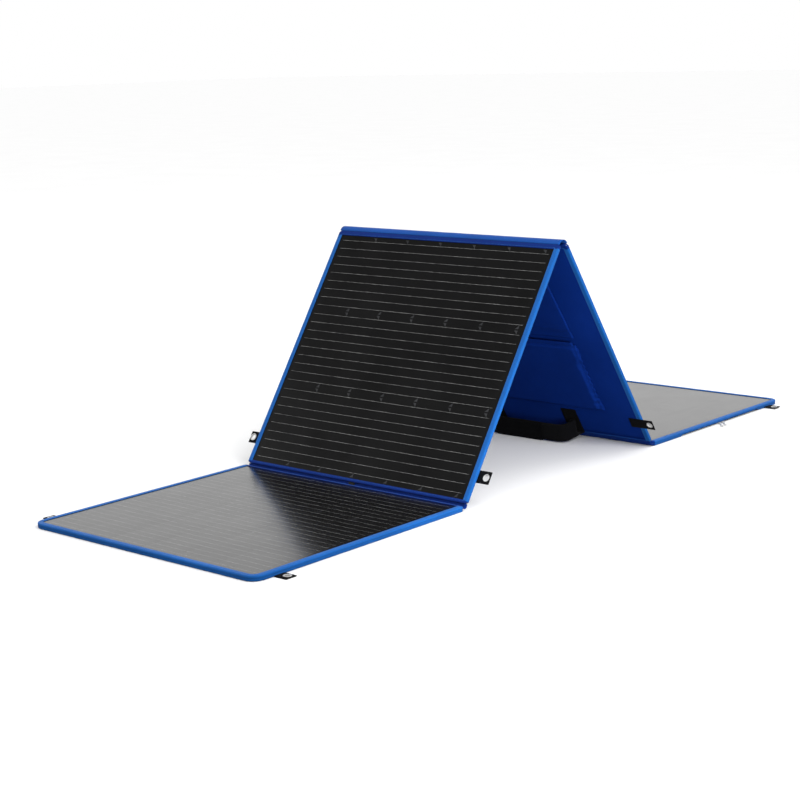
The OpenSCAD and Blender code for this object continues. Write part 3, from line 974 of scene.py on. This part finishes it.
def fold_band(name, pivot, angles, radius, half, thick, material, slot):
    """A band round a fold's axis, between two angles measured from +Y towards +Z."""
    shape = Shape()
    rings = []
    for x in steps(-half, half, max(8, round(half / (2.5 * MM)))):
        wander = 0.25 * thick * ripple(x, 0, pivot.y, 0.03)
        ring = []
        for layer, order in ((0, angles), (1, tuple(reversed(angles)))):
            for share in steps(0, 1, 14):
                angle = order[0] + (order[1] - order[0]) * share
                reach = radius - layer * thick + wander * math.sin(math.pi * share)
                point = (x, pivot.y + reach * math.cos(angle), pivot.z + reach * math.sin(angle))
                ring.append(shape.add(point, x, radius * angle))
        rings.append(ring)
    shape.tube(rings)
    return shape.build(name, [material], slot)


def make_fold(name, pivot, angles_at, radius, bodies, material):
    """A fold's cloth and the flat lead that crosses it inside; angles_at(radius) gives their reach."""
    half = HALF_WIDTH - 1 * MM
    cloth = fold_band(name + "_fold_cloth", pivot, angles_at(radius), radius, half, 0.8 * MM,
                      material, "edge_binding")
    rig.replaces(cloth, name + "_hinge_strip")
    inner = radius - LEAD_STEP
    lead = fold_band(name + "_flat_lead", pivot, angles_at(inner), inner, LEAD_HALF, LEAD_THICK,
                     RUBBER, "lead_jacket")
    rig.replaces(lead, name + "_link_lead")
    first, last = angles_at(radius)
    for piece in (cloth, lead):
        start = pivot + radius * Vector((0, math.cos(first), math.sin(first)))
        end = pivot + radius * Vector((0, math.cos(last), math.sin(last)))
        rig.blend(piece, bodies[0], bodies[1], start, end)
    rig.sheet(cloth, flat=(2 * half, radius * abs(last - first)), held="stretched",
             rests_on=[name + "_flat_lead"])


LEAD_STEP = 1.4 * MM
LEAD_THICK = 0.9 * MM
LEAD_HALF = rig.box("ridge_link_lead")[1].x
FOOT_RADIUS = 7 * MM


def make_folds():
    """The two foot folds and the ridge."""
    def foot(radius):
        return math.acos(FOLD_GAP / radius)

    make_fold("front", FRONT_FOLD, lambda r: (SLOPE - foot(r), foot(r) - math.pi), FOOT_RADIUS,
              ("front_inner_panel", "front_outer_panel"), FOLD_CLOTH_AND_CREASE_SHADE)
    make_fold("rear", REAR_FOLD, lambda r: (math.pi - SLOPE + foot(r), 2 * math.pi - foot(r)), FOOT_RADIUS,
              ("rear_inner_panel", "rear_outer_panel"), FOLD_CLOTH_AND_CREASE_SHADE)
    ridge_gap = (RIDGE - FRONT_FOLD).dot(FRONT_INNER.up_way) - FAR_END
    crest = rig.box("ridge_hinge_strip")[1].z - RIDGE.z
    upright = math.pi / 2

    def lean(radius):
        return SLOPE + math.asin(ridge_gap / radius)

    make_fold("ridge", RIDGE, lambda r: (upright + lean(r), upright - lean(r)), crest,
              ("front_inner_panel", "rear_inner_panel"), RIDGE_CLOTH)


# ---------------------------------------------------------------- tie tabs

tab_low, tab_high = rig.box("front_outer_tabs")
eyelet_low, eyelet_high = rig.box("front_outer_eyelets")
TAB_REACH = tab_high.x - HALF_WIDTH
TAB_WIDTH = tab_high.y - tab_low.y
TAB_THICK = tab_high.z - tab_low.z
TAB_LOW_DEPTH = binding_high.z - tab_low.z
EYELET_RIM = (eyelet_high.y - eyelet_low.y) / 2
EYELET_OUT = eyelet_high.x - EYELET_RIM - HALF_WIDTH
EYELET_HOLE = 5 * MM
OUTER_TAB_AT = FRONT_FOLD.y - (tab_low.y + tab_high.y) / 2
INNER_TAB_AT = FAR_END - OUTER_TAB_AT + FOLD_GAP
TAB_SEWN = 28 * MM
TAB_ROOT = 4 * MM
EYELET_LIP = 0.7 * MM
TINY = 1e-6


def tab_place(panel):
    """(distance from the fold, depth of the webbing's middle, how far it is sewn in)."""
    if panel.thick == OUTER_THICK:
        return OUTER_TAB_AT, TAB_LOW_DEPTH - TAB_THICK / 2, 0.0
    return INNER_TAB_AT, INNER_THICK + TAB_THICK / 2, TAB_SEWN


def tab_outline():
    """Angles round the eyelet and the distance from it to the webbing's edge."""
    half = TAB_WIDTH / 2
    right = TAB_REACH - EYELET_OUT
    left = EYELET_OUT - TAB_ROOT
    corner_right = math.atan2(half, right)
    corner_left = math.atan2(half, -left)
    corners = (-corner_right, corner_right, corner_left,
               2 * math.pi - corner_left, 2 * math.pi - corner_right)
    found = []
    for first, last in zip(corners, corners[1:]):
        for angle in steps(first, last, 6)[:-1]:
            out = math.cos(angle)
            aside = abs(math.sin(angle))
            to_end = (right if out > 0 else left) / max(abs(out), TINY)
            found.append((angle, min(to_end, half / max(aside, TINY))))
    return found


def make_tabs(panel):
    """Two webbing tabs, each a ribbon with a hole for its eyelet."""
    at, depth, sewn = tab_place(panel)
    shape = Shape()
    for side in (-1, 1):
        def put(out, aside):
            curl = 0.5 * MM * ripple(out * side, aside, panel.seed, 0.012)
            flat = max(0.0, 1 - abs(out - EYELET_OUT) / (1.3 * EYELET_RIM))
            place = panel.at(side * (HALF_WIDTH + out), at + aside, depth + curl * (1 - flat) * 0.6)
            return shape.add(place, out, aside)

        edge = tab_outline()
        rings = [[put(EYELET_OUT + reach_at * math.cos(angle), reach_at * math.sin(angle))
                  for angle, reach in edge
                  for reach_at in [EYELET_HOLE + MM + (reach - EYELET_HOLE - MM) * share]]
                 for share in (0, 0.35, 0.7, 1.0)]
        shape.grid(rings, closed=True)
        root = [number for number, (angle, reach) in enumerate(edge)
                if abs(EYELET_OUT + reach * math.cos(angle) - TAB_ROOT) < 0.01 * MM]
        asides = [edge[number][1] * math.sin(edge[number][0]) for number in root]
        rows = [[rings[-1][number] for number in root]]
        for out in steps(TAB_ROOT, -sewn, 8)[1:]:
            rows.append([put(out, aside) for aside in asides])
        shape.grid(rows)
    piece = shape.build(panel.name + "_tie_tabs", [BLACK_WEB], "webbing", panel.body,
                        thickness=TAB_THICK - 0.2 * MM)
    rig.replaces(piece, panel.name + "_tabs")
    make_tab_stitches(panel, at, depth, sewn)


def make_tab_stitches(panel, at, depth, sewn):
    """A square of stitches with a cross in it where each tab is sewn down."""
    if not sewn:
        return
    shape = Shape()
    reach = TAB_WIDTH / 2 - 3 * MM
    middle = HALF_WIDTH - sewn / 2 - 1 * MM
    for side in (-1, 1):
        stitch_box(shape, lambda x, s, deep: panel.at(side * (middle + x), at + s, deep),
                   (-reach, -reach), (reach, reach), depth + TAB_THICK / 2 - 0.05 * MM,
                   -panel.out_way, TAB_STITCHES)
    shape.build(panel.name + "_tab_stitching", [BLACK_WEB], "webbing", panel.body, smooth=False)


def eyelet_section():
    """The metal's section, as (distance from the eyelet's middle, height): barrel, then rolled rims."""
    flange = TAB_THICK / 2
    middle = (EYELET_HOLE + EYELET_RIM) / 2
    half = (EYELET_RIM - EYELET_HOLE) / 2
    rim = [(middle - half * math.cos(turn), flange + 0.1 * MM + EYELET_LIP * math.sin(turn))
           for turn in steps(0, math.pi, 5)]
    inner = [(EYELET_HOLE, -flange), (EYELET_HOLE, 0), (EYELET_HOLE, flange)]
    outer = [(EYELET_HOLE + MM, flange), (EYELET_HOLE + MM, -flange)]
    return inner + rim + outer + [(radius, -out) for radius, out in reversed(rim)]


def make_eyelets(panel):
    """Rolled metal eyelets: a flange on each side of the webbing and a barrel through it."""
    at, depth, _ = tab_place(panel)
    shape = Shape()
    for side in (-1, 1):
        rings = []
        for angle in steps(0, 2 * math.pi, 40)[:-1]:
            ring = []
            for radius, out in eyelet_section():
                x = side * (HALF_WIDTH + EYELET_OUT) + radius * math.cos(angle)
                ring.append(shape.add(panel.at(x, at + radius * math.sin(angle), depth - out), angle, radius))
            rings.append(ring)
        rings.append(rings[0])
        shape.grid(rings, closed=True)
    piece = shape.build(panel.name + "_rolled_eyelets", [NICKEL], "eyelet_metal", panel.body)
    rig.replaces(piece, panel.name + "_eyelets")


# ---------------------------------------------------------------- slabs, straps and stitches

SLAB_SOFT = 12 * MM
# Each row of stitches has its pitch and its stitches' length and width.
CLOTH_STITCHES = (2.8 * MM, 0.7 * 2.8 * MM, 0.55 * MM)
POUCH_STITCHES = (STITCH_PITCH, 0.7 * STITCH_PITCH, 0.55 * MM)
TAB_STITCHES = (2.6 * MM, 1.9 * MM, 0.6 * MM)


def soft_steps(low, high, soft, count):
    """Steps from low to high, closer together near both ends."""
    near = [soft * share for share in (0, 0.03, 0.12, 0.3, 0.6)]
    return ([low + w for w in near] + steps(low + soft, high - soft, count)
            + [high - w for w in reversed(near)])


def slab(name, at, half, low, high, r_low, r_high, height):
    """A closed padded sheet of back cloth: height(edge) gives how far each side stands out."""
    shape = Shape()
    for side in (-1, 1):
        rows = []
        for s in soft_steps(low, high, SLAB_SOFT, 40):
            row = []
            for x in soft_steps(-half, half, SLAB_SOFT, 56):
                place_x, place_s, edge = round_in(x, s, half, low, high, r_low, r_high)
                row.append(shape.add(at(place_x, place_s, side * height(max(edge, 0))), x, s))
            rows.append(row)
        shape.grid(rows)
    piece = shape.build(name, [NAVY], "back_fabric")
    weld(piece)
    return piece


def weld(piece):
    """Joins points that lie in the same place and drops what that leaves without area."""
    work = bmesh.new()
    work.from_mesh(piece.data)
    bmesh.ops.remove_doubles(work, verts=work.verts[:], dist=0.02 * MM)
    bmesh.ops.dissolve_degenerate(work, edges=work.edges[:], dist=0.005 * MM)
    bmesh.ops.recalc_face_normals(work, faces=work.faces[:])
    work.to_mesh(piece.data)
    work.free()


def rounded_edge(edge, radius, half):
    """How far one side of a slab stands out: a round edge, then flat."""
    inward = min(edge, radius) / radius
    return half * math.sqrt(max(0.0, 1 - (1 - inward) ** 2))


def ribbon(shape, stations, sides=10):
    """A strap through stations of (middle, way across, way out, width, thickness, place)."""
    rings = []
    for middle, across, out, width, thick, place in stations:
        ring = []
        for i in range(2 * sides):
            share = i / sides if i < sides else (2 * sides - i) / sides
            aside = 2 * share - 1
            flat = max(0.25, 1 - abs(aside) ** 8)
            lift = (1 if i < sides else -1) * thick / 2 * flat
            if i in (0, sides):
                lift = 0
            ring.append(shape.add(middle + across * aside * width / 2 + out * lift, place, aside * width / 2))
        rings.append(ring)
    shape.tube(rings)


def stitch_row(shape, at, first, second, depth, up_way, sizes):
    """Stitches on a straight line between two places; at(x, s, depth) places them."""
    pitch, length, width = sizes
    count = max(1, round((second - first).length / pitch))
    for i in range(count):
        spot = first.lerp(second, (i + 0.5) / count)
        ahead = first.lerp(second, (i + 0.6) / count)
        middle = at(spot.x, spot.y, depth)
        along = (at(ahead.x, ahead.y, depth) - middle).normalized()
        add_stitch(shape, middle, along, along.cross(up_way), up_way, length, width, 0.3 * MM)


def stitch_box(shape, at, low, high, depth, up_way, sizes):
    """A sewn rectangle with a cross in it."""
    corners = [Vector(low), Vector((high[0], low[1])), Vector(high), Vector((low[0], high[1]))]
    lines = list(zip(corners, corners[1:] + corners[:1]))
    lines += [(corners[0], corners[2]), (corners[1], corners[3])]
    for first, second in lines:
        stitch_row(shape, at, first, second, depth, up_way, sizes)


# ---------------------------------------------------------------- the pouch and the prop

POUCH_MIDDLE = (POUCH_DEPTH[0] + POUCH_DEPTH[1]) / 2
POUCH_CORNER = 14 * MM
POUCH_FOOT_CORNER = 5 * MM
POUCH_INSET = 1.5 * MM
POUCH_LIFT = 1.2 * MM
POUCH_CHANNEL = 13 * MM
MOUTH_TAPE = 10 * MM


def swell(piece, pressure, cap):
    """Blows a closed piece up as cloth, holding each point within cap of where it was."""
    before = [vertex.co.copy() for vertex in piece.data.vertices]
    cloth = piece.modifiers.new("swell", "CLOTH")
    cloth.settings.quality = 6
    cloth.settings.mass = 0.2
    cloth.settings.tension_stiffness = 25
    cloth.settings.compression_stiffness = 15
    cloth.settings.bending_stiffness = 0.8
    cloth.settings.use_pressure = True
    cloth.settings.uniform_pressure_force = pressure
    cloth.settings.effector_weights.gravity = 0
    scene = bpy.context.scene
    for number in range(1, 19):
        scene.frame_set(number)
    graph = bpy.context.evaluated_depsgraph_get()
    after = [vertex.co.copy() for vertex in piece.evaluated_get(graph).data.vertices]
    piece.modifiers.clear()
    for vertex, old, new in zip(piece.data.vertices, before, after):
        move = new - old
        if move.length > cap:
            move = move.normalized() * cap
        vertex.co = old + move
    scene.frame_set(1)


def apply_modifier(piece, kind, **settings):
    """Makes what one modifier does to a piece part of its mesh."""
    modifier = piece.modifiers.new("step", kind)
    for name, value in settings.items():
        setattr(modifier, name, value)
    graph = bpy.context.evaluated_depsgraph_get()
    mesh = bpy.data.meshes.new_from_object(piece.evaluated_get(graph))
    piece.modifiers.clear()
    piece.data = mesh


def place_texture(piece, panel):
    """Gives a remeshed piece its texture places, measured in the panel's own frame."""
    mesh = piece.data
    layer = mesh.uv_layers.new(name="metres")
    for loop in mesh.loops:
        point = mesh.vertices[loop.vertex_index].co - panel.fold
        layer.data[loop.index].uv = (point.dot(panel.x_way), point.dot(panel.up_way))
    mesh.polygons.foreach_set("use_smooth", [True] * len(mesh.polygons))


def pouch_shape(edge):
    """The pouch before it swells: thin at its sewn edge and fuller in the middle."""
    return rounded_edge(edge, 16 * MM, 2.9 * MM)


def make_pouch():
    """The padded pouch on the rear inner panel's back."""
    panel = REAR_INNER
    half = POUCH_X[1] - POUCH_INSET
    low = POUCH_S[0] + POUCH_INSET
    high = POUCH_S[1] - POUCH_INSET

    def at(x, s, out):
        return panel.at(x, s, POUCH_MIDDLE - POUCH_LIFT + out)

    pouch = slab("pouch_pad", at, half, low, high, POUCH_FOOT_CORNER, POUCH_CORNER, pouch_shape)
    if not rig.quick():
        apply_modifier(pouch, "REMESH", mode="VOXEL", voxel_size=4.5 * MM)
        swell(pouch, 4.0, 5 * MM)
        apply_modifier(pouch, "SUBSURF", levels=1)
    settle_pouch(pouch, half, low, high)
    pouch.data.materials.clear()
    pouch.data.materials.append(NAVY)
    for polygon in pouch.data.polygons:
        polygon.material_index = 0
    if not pouch.data.uv_layers:
        place_texture(pouch, panel)
    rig.ride(pouch, panel.body)
    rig.replaces(pouch, "pouch")
    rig.padded(pouch, fill=0.5)
    make_pouch_trim(panel, half)


def settle_pouch(pouch, half, low, high):
    """Lays the pouch on the panel, keeps it in its space and sews a channel inside its edge."""
    panel = REAR_INNER
    for vertex in pouch.data.vertices:
        point = vertex.co - panel.fold
        x = point.dot(panel.x_way)
        s = point.dot(panel.up_way)
        depth = -point.dot(panel.out_way) - FACE_CLEAR
        edge = round_in(x, s, half, low, high, POUCH_FOOT_CORNER, POUCH_CORNER)[2]
        if depth > POUCH_MIDDLE - POUCH_LIFT:
            groove = math.exp(-((edge - POUCH_CHANNEL) / (2.6 * MM)) ** 2)
            depth += 0.5 * MM * ripple(x, s, 4, 0.07) - 1.3 * MM * groove
        depth = max(BACK_DEPTH - 0.1 * MM, min(POUCH_DEPTH[1], depth))
        vertex.co = panel.at(x, s, depth)


def make_pouch_trim(panel, half):
    """The bound top of the pouch's mouth and its stitch lines."""
    top = POUCH_S[1]
    face = POUCH_DEPTH[1] - 1.6 * MM
    reach = half - 9 * MM
    stations = []
    for x in steps(-reach, reach, 60):
        drop = 1.2 * MM * (1 - (x / half) ** 2)
        middle = panel.at(x, top - 6 * MM - drop, face)
        stations.append((middle, panel.up_way, -panel.out_way, MOUTH_TAPE, 1.2 * MM, x))
    shape = Shape()
    ribbon(shape, stations)
    mouth = shape.build("pouch_mouth_tape", [NAVY], "back_fabric", panel.body)
    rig.sheet(mouth, flat=(2 * reach, MOUTH_TAPE), held="stretched", rests_on=["pouch_pad"])
    sewing = Shape()
    inset = 5.5 * MM
    low = POUCH_S[0] + inset
    side = POUCH_X[1] - inset
    lift = BACK_DEPTH + 4.2 * MM
    high = top - 16 * MM
    route = [Vector(place) for place in ((-side, high), (-side, low), (side, low), (side, high))]
    for first, second in zip(route, route[1:]):
        stitch_row(sewing, panel.at, first, second, lift, -panel.out_way, POUCH_STITCHES)
    sewing.build("pouch_stitching", [NAVY], "back_fabric", panel.body, smooth=False)


PROP_AJAR = math.radians(joints["prop_swing"]["range_deg"][1])
PROP_UP = REAR_INNER.up_way * math.cos(PROP_AJAR) - REAR_INNER.out_way * math.sin(PROP_AJAR)
PROP_OUT = REAR_INNER.x_way.cross(PROP_UP)
prop_points = [vertex.co - PROP_HINGE for vertex in frame["nodes"]["prop_cover"].data.vertices]
PROP_HALF = max(point.dot(REAR_INNER.x_way) for point in prop_points)
PROP_START = min(point.dot(PROP_UP) for point in prop_points)
PROP_END = max(point.dot(PROP_UP) for point in prop_points)
PROP_THICK = 2 * max(point.dot(PROP_OUT) for point in prop_points)
PROP_CORNER = 16 * MM
PROP_BORDER = 7 * MM
PROP_ROLL = 3 * MM


def prop_at(x, s, out):
    """A place in the prop board's frame; out is measured away from the panel."""
    bow = 1.2 * MM * (s / PROP_END) ** 2 + 0.5 * MM * ripple(x, s, 2, 0.12)
    return PROP_HINGE + x * REAR_INNER.x_way + s * PROP_UP - (out + bow * 0.5) * PROP_OUT


def prop_shape(edge):
    """The prop board in its cloth: a rolled edge, a sewn groove, then the board's flat."""
    groove = 0.5 * MM * math.exp(-((edge - PROP_BORDER) / (1.1 * MM)) ** 2)
    roll = rounded_edge(edge, PROP_ROLL, PROP_THICK / 2)
    return roll - (groove if edge > PROP_ROLL else 0)


def make_prop():
    """The prop board's cloth cover, its stitch lines and its hinge strip."""
    prop = slab("prop_cloth", prop_at, PROP_HALF, PROP_START, PROP_END, PROP_ROLL, PROP_CORNER, prop_shape)
    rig.ride(prop, "prop")
    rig.replaces(prop, "prop_cover")
    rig.padded(prop, fill=0.3)
    edge = PROP_HALF - PROP_BORDER + 1.5 * MM
    across = edge - PROP_CORNER + PROP_BORDER
    low = PROP_START + PROP_BORDER
    high = PROP_END - PROP_CORNER
    top = PROP_END - PROP_BORDER + 1.5 * MM
    sewing = Shape()
    for side in (-1, 1):
        depth = side * (PROP_THICK / 2 - 0.1 * MM)
        for first, second in (((-edge, low), (-edge, high)), ((edge, low), (edge, high)),
                              ((-across, top), (across, top))):
            stitch_row(sewing, prop_at, Vector(first), Vector(second), depth, -PROP_OUT * side,
                       CLOTH_STITCHES)
    sewing.build("prop_stitching", [NAVY], "back_fabric", "prop", smooth=False)
    make_prop_hinge()


def make_prop_hinge():
    """The strip that is sewn to the panel and carries on behind the prop board's foot."""
    panel = REAR_INNER
    shape = Shape()
    half = PROP_HALF - 1 * MM
    foot = -(PROP_HINGE - panel.fold).dot(panel.out_way) - FACE_CLEAR
    flat = STRIP_DEPTH[1] - 0.1 * MM
    end = STRIP_S[1] + 6 * MM
    low, high = STRIP_S
    route = [(low, STRIP_DEPTH[0] + 0.7 * MM), (low + 2 * MM, flat), (low + 8 * MM, flat),
             (high - 6 * MM, flat + 0.1 * MM), (high - 1 * MM, foot - 0.6 * MM),
             (high + 3 * MM, foot), (end, foot)]
    rows = []
    for number, (s, depth) in enumerate(route):
        row = []
        for x in steps(-half, half, 60):
            wander = 0.12 * MM * ripple(x, number, 8, 0.03)
            row.append(shape.add(panel.at(x, s, depth + wander), x, s))
        rows.append(row)
    shape.grid(rows)
    strip = shape.build("prop_hinge_cloth", [NAVY], "back_fabric", thickness=0.6 * MM)
    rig.replaces(strip, "prop_hinge_strip")
    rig.sheet(strip, flat=(2 * half, end - STRIP_S[0]), held="stretched", rests_on=["rear_inner_back_cloth"])
    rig.blend(strip, panel.body, "prop", panel.at(0, STRIP_S[1] - 3 * MM, foot),
             panel.at(0, STRIP_S[1] + 3 * MM, foot))


# ---------------------------------------------------------------- the carry handle

WEBBING = 38 * MM
WEB_THICK = 2 * MM
LEG_X = ANCHOR_X[1] - WEBBING / 2
GRIP_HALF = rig.box("handle_grip")[1].x


def make_anchors():
    """The two straps sewn flat to the panel's back, which the loop comes out of."""
    panel = REAR_INNER
    shape = Shape()
    sewing = Shape()
    depth = (ANCHOR_DEPTH[0] + ANCHOR_DEPTH[1]) / 2
    for side in (-1, 1):
        stations = []
        for s in steps(ANCHOR_S[1], ANCHOR_S[0], 14):
            turned = 0.5 * MM * max(0.0, (s - ANCHOR_S[1] + 6 * MM) / (6 * MM))
            stations.append((panel.at(side * LEG_X, s, depth - turned), panel.x_way, panel.out_way,
                             WEBBING, WEB_THICK, s))
        ribbon(shape, stations)
        low = (side * LEG_X - WEBBING / 2 + 4 * MM, ANCHOR_S[0] + 26 * MM)
        high = (side * LEG_X + WEBBING / 2 - 4 * MM, ANCHOR_S[1] - 5 * MM)
        stitch_box(sewing, panel.at, low, high, ANCHOR_DEPTH[1] - 0.15 * MM, -panel.out_way,
                   CLOTH_STITCHES)
    anchors = shape.build("handle_anchor_straps", [BLACK_WEB], "webbing", panel.body)
    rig.replaces(anchors, "handle_anchors")
    sewing.build("handle_anchor_stitching", [BLACK_WEB], "webbing", panel.body, smooth=False)


handle_mesh = frame["nodes"]["handle_webbing"].data
underside = min((face.normal for face in handle_mesh.polygons), key=lambda way: way.z)
HANDLE_TILT = math.atan2(abs(underside.y), abs(underside.z))
HANDLE_WAY = Vector((0, -math.cos(HANDLE_TILT), -math.sin(HANDLE_TILT)))
HANDLE_UP = Vector((0, -math.sin(HANDLE_TILT), math.cos(HANDLE_TILT)))
HANDLE_REACH = max((vertex.co - HANDLE_FOLD).dot(HANDLE_WAY) for vertex in handle_mesh.vertices)
LOOP_CORNER = 19 * MM
BAND_START = 33 * MM


def handle_at(x, y, z):
    """A place in the handle's frame: y away from its fold, z up."""
    return HANDLE_FOLD + Vector((x, 0, 0)) + y * HANDLE_WAY + z * HANDLE_UP


def loop_stations():
    """One half of the loop as (outer edge's x and y, way along, turn, length so far).

    The webbing leaves its fold lying flat, then turns up about its outer edge to stand on it.
    """
    outer = LEG_X + WEBBING / 2
    far = HANDLE_REACH - WEB_THICK / 2
    side = outer - WEB_THICK / 2
    plan = []
    for y in steps(1 * MM, BAND_START, 10):
        share = max(0.0, min(1.0, (y - 4 * MM) / (BAND_START - 6 * MM)))
        smooth = share * share * (3 - 2 * share)
        plan.append((outer - WEB_THICK / 2 * smooth, y, smooth * math.pi / 2))
    centre_y = far - LOOP_CORNER
    for turn in steps(0, math.pi / 2, 8):
        x = side - LOOP_CORNER + LOOP_CORNER * math.cos(turn)
        plan.append((x, centre_y + LOOP_CORNER * math.sin(turn), math.pi / 2))
    plan += [(x, far, math.pi / 2) for x in steps(side - LOOP_CORNER - 8 * MM, 0, 12)]
    found = []
    gone = 0.0
    for number, (x, y, turn) in enumerate(plan):
        if number:
            gone += math.hypot(x - plan[number - 1][0], y - plan[number - 1][1])
        found.append((x, y, turn, gone))
    return found


def make_handle():
    """The loop of webbing and the padded sleeve round its middle."""
    half = loop_stations()
    total = half[-1][3]
    whole = half + [(-x, y, turn, 2 * total - gone) for x, y, turn, gone in reversed(half[:-1])]
    stations = []
    for number, (x, y, turn, gone) in enumerate(whole):
        before = whole[max(0, number - 1)]
        after = whole[min(len(whole) - 1, number + 1)]
        way = (handle_at(after[0], after[1], 0) - handle_at(before[0], before[1], 0)).normalized()
        inward = Vector((-1 if number < len(half) else 1, 0, 0))
        across = (inward * math.cos(turn) + HANDLE_UP * math.sin(turn)).normalized()
        slack = 0.5 * MM * ripple(x, y, 6, 0.03) * math.sin(turn)
        middle = handle_at(x, y + slack, 0) + across * WEBBING / 2
        stations.append((middle, across, way.cross(across).normalized(), WEBBING, WEB_THICK, gone))
    shape = Shape()
    ribbon(shape, stations)
    loop = shape.build("handle_loop", [BLACK_WEB], "webbing")
    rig.replaces(loop, "handle_webbing")
    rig.blend(loop, REAR_INNER.body, "handle", HANDLE_FOLD + 0.5 * MM * HANDLE_WAY,
             HANDLE_FOLD + 12 * MM * HANDLE_WAY)
    make_grip()


def make_grip():
    """The padded sleeve: plumper in the middle, drawn in at its sewn ends."""
    shape = Shape()
    far = HANDLE_REACH - WEB_THICK / 2
    middle = WEBBING / 2 - WEB_THICK / 2
    rings = []
    for x in soft_steps(-GRIP_HALF, GRIP_HALF, 10 * MM, 24):
        end = 1 - abs(x) / GRIP_HALF
        full = min(1.0, 0.45 + 0.55 * math.sqrt(min(1.0, end * 8)))
        tall = WEBBING / 2 + 1.2 * MM * full
        deep = WEB_THICK / 2 + 2.2 * MM * full + 0.3 * MM * ripple(x, 0, 9, 0.012)
        ring = []
        for angle in steps(0, 2 * math.pi, 28)[:-1]:
            out = math.copysign(abs(math.cos(angle)) ** 0.55, math.cos(angle)) * deep
            up = math.copysign(abs(math.sin(angle)) ** 0.55, math.sin(angle)) * tall
            ring.append(shape.add(handle_at(x, far + out, middle + up), x, angle * 8 * MM))
        rings.append(ring)
    shape.tube(rings)
    grip = shape.build("handle_grip_sleeve", [SLEEVE], "webbing", "handle")
    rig.replaces(grip, "handle_grip")
    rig.padded(grip, fill=0.7)


# ---------------------------------------------------------------- the zip

ZIP_TAPE = 0.8 * MM
ZIP_PLAIN_END = 4 * MM
COIL_PITCH = 1.8 * MM


def make_zip():
    """The zip under the rear outer panel's edge: its tape and a row of coils."""
    panel = REAR_OUTER
    top = ZIP_DEPTH[0]
    shape = Shape()
    rows = []
    for s in steps(ZIP_S[0], ZIP_S[1], 60):
        row = []
        for x in steps(ZIP_X[0], ZIP_X[1] - 0.4 * MM, 8):
            uneven = 0.1 * MM * ripple(x, s, 1, 0.01)
            row.append(shape.add(panel.at(x, s, top + 0.1 * MM + uneven), s, x))
        rows.append(row)
    shape.grid(rows)
    track = shape.build("zip_tape", [BLACK_WEB], "zip_tape", panel.body, thickness=ZIP_TAPE - 0.3 * MM)
    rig.replaces(track, "zip_track")
    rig.sheet(track, flat=(ZIP_S[1] - ZIP_S[0], ZIP_X[1] - ZIP_X[0]), held="stretched",
             rests_on=["rear_outer_edge_tape"])
    teeth = Shape()
    coil_x = HALF_WIDTH - 7 * MM
    count = round((ZIP_S[1] - ZIP_S[0] - 2 * ZIP_PLAIN_END) / COIL_PITCH)
    for i in range(count):
        s = ZIP_S[0] + ZIP_PLAIN_END + (i + 0.5) * COIL_PITCH
        middle = panel.at(coil_x, s, top + ZIP_TAPE)
        add_stitch(teeth, middle, panel.x_way, panel.up_way, -panel.out_way, 4.8 * MM, 1.2 * MM, 0.9 * MM)
    teeth.build("zip_coil", [BLACK_PLASTIC], "zip_tape", panel.body, smooth=False)


# ---------------------------------------------------------------- build

make_camera()
make_floor()
make_world()
make_lights()
finish_cad_nodes()
for panel in PANELS:
    make_face(panel)
    make_wires(panel)
    make_binding(panel)
    make_binding_stitches(panel)
    make_tabs(panel)
    make_eyelets(panel)
make_back(FRONT_OUTER, 0.5 * MM, ["front_outer_cover"])
make_back(FRONT_INNER, 0.9 * MM, ["front_inner_cover"])
make_back(REAR_INNER, 0.7 * MM, ["rear_inner_cover"])
make_back(REAR_OUTER, 0.5 * MM, ["rear_outer_cover", "rear_pocket"])
make_folds()
make_pouch()
make_prop()
make_anchors()
make_handle()
make_zip()

json.dump(
    {"cad": [list(cad_low), list(cad_high)], "visual": [list(corner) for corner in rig.bounds()]},
    open("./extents.json", "w"),
)
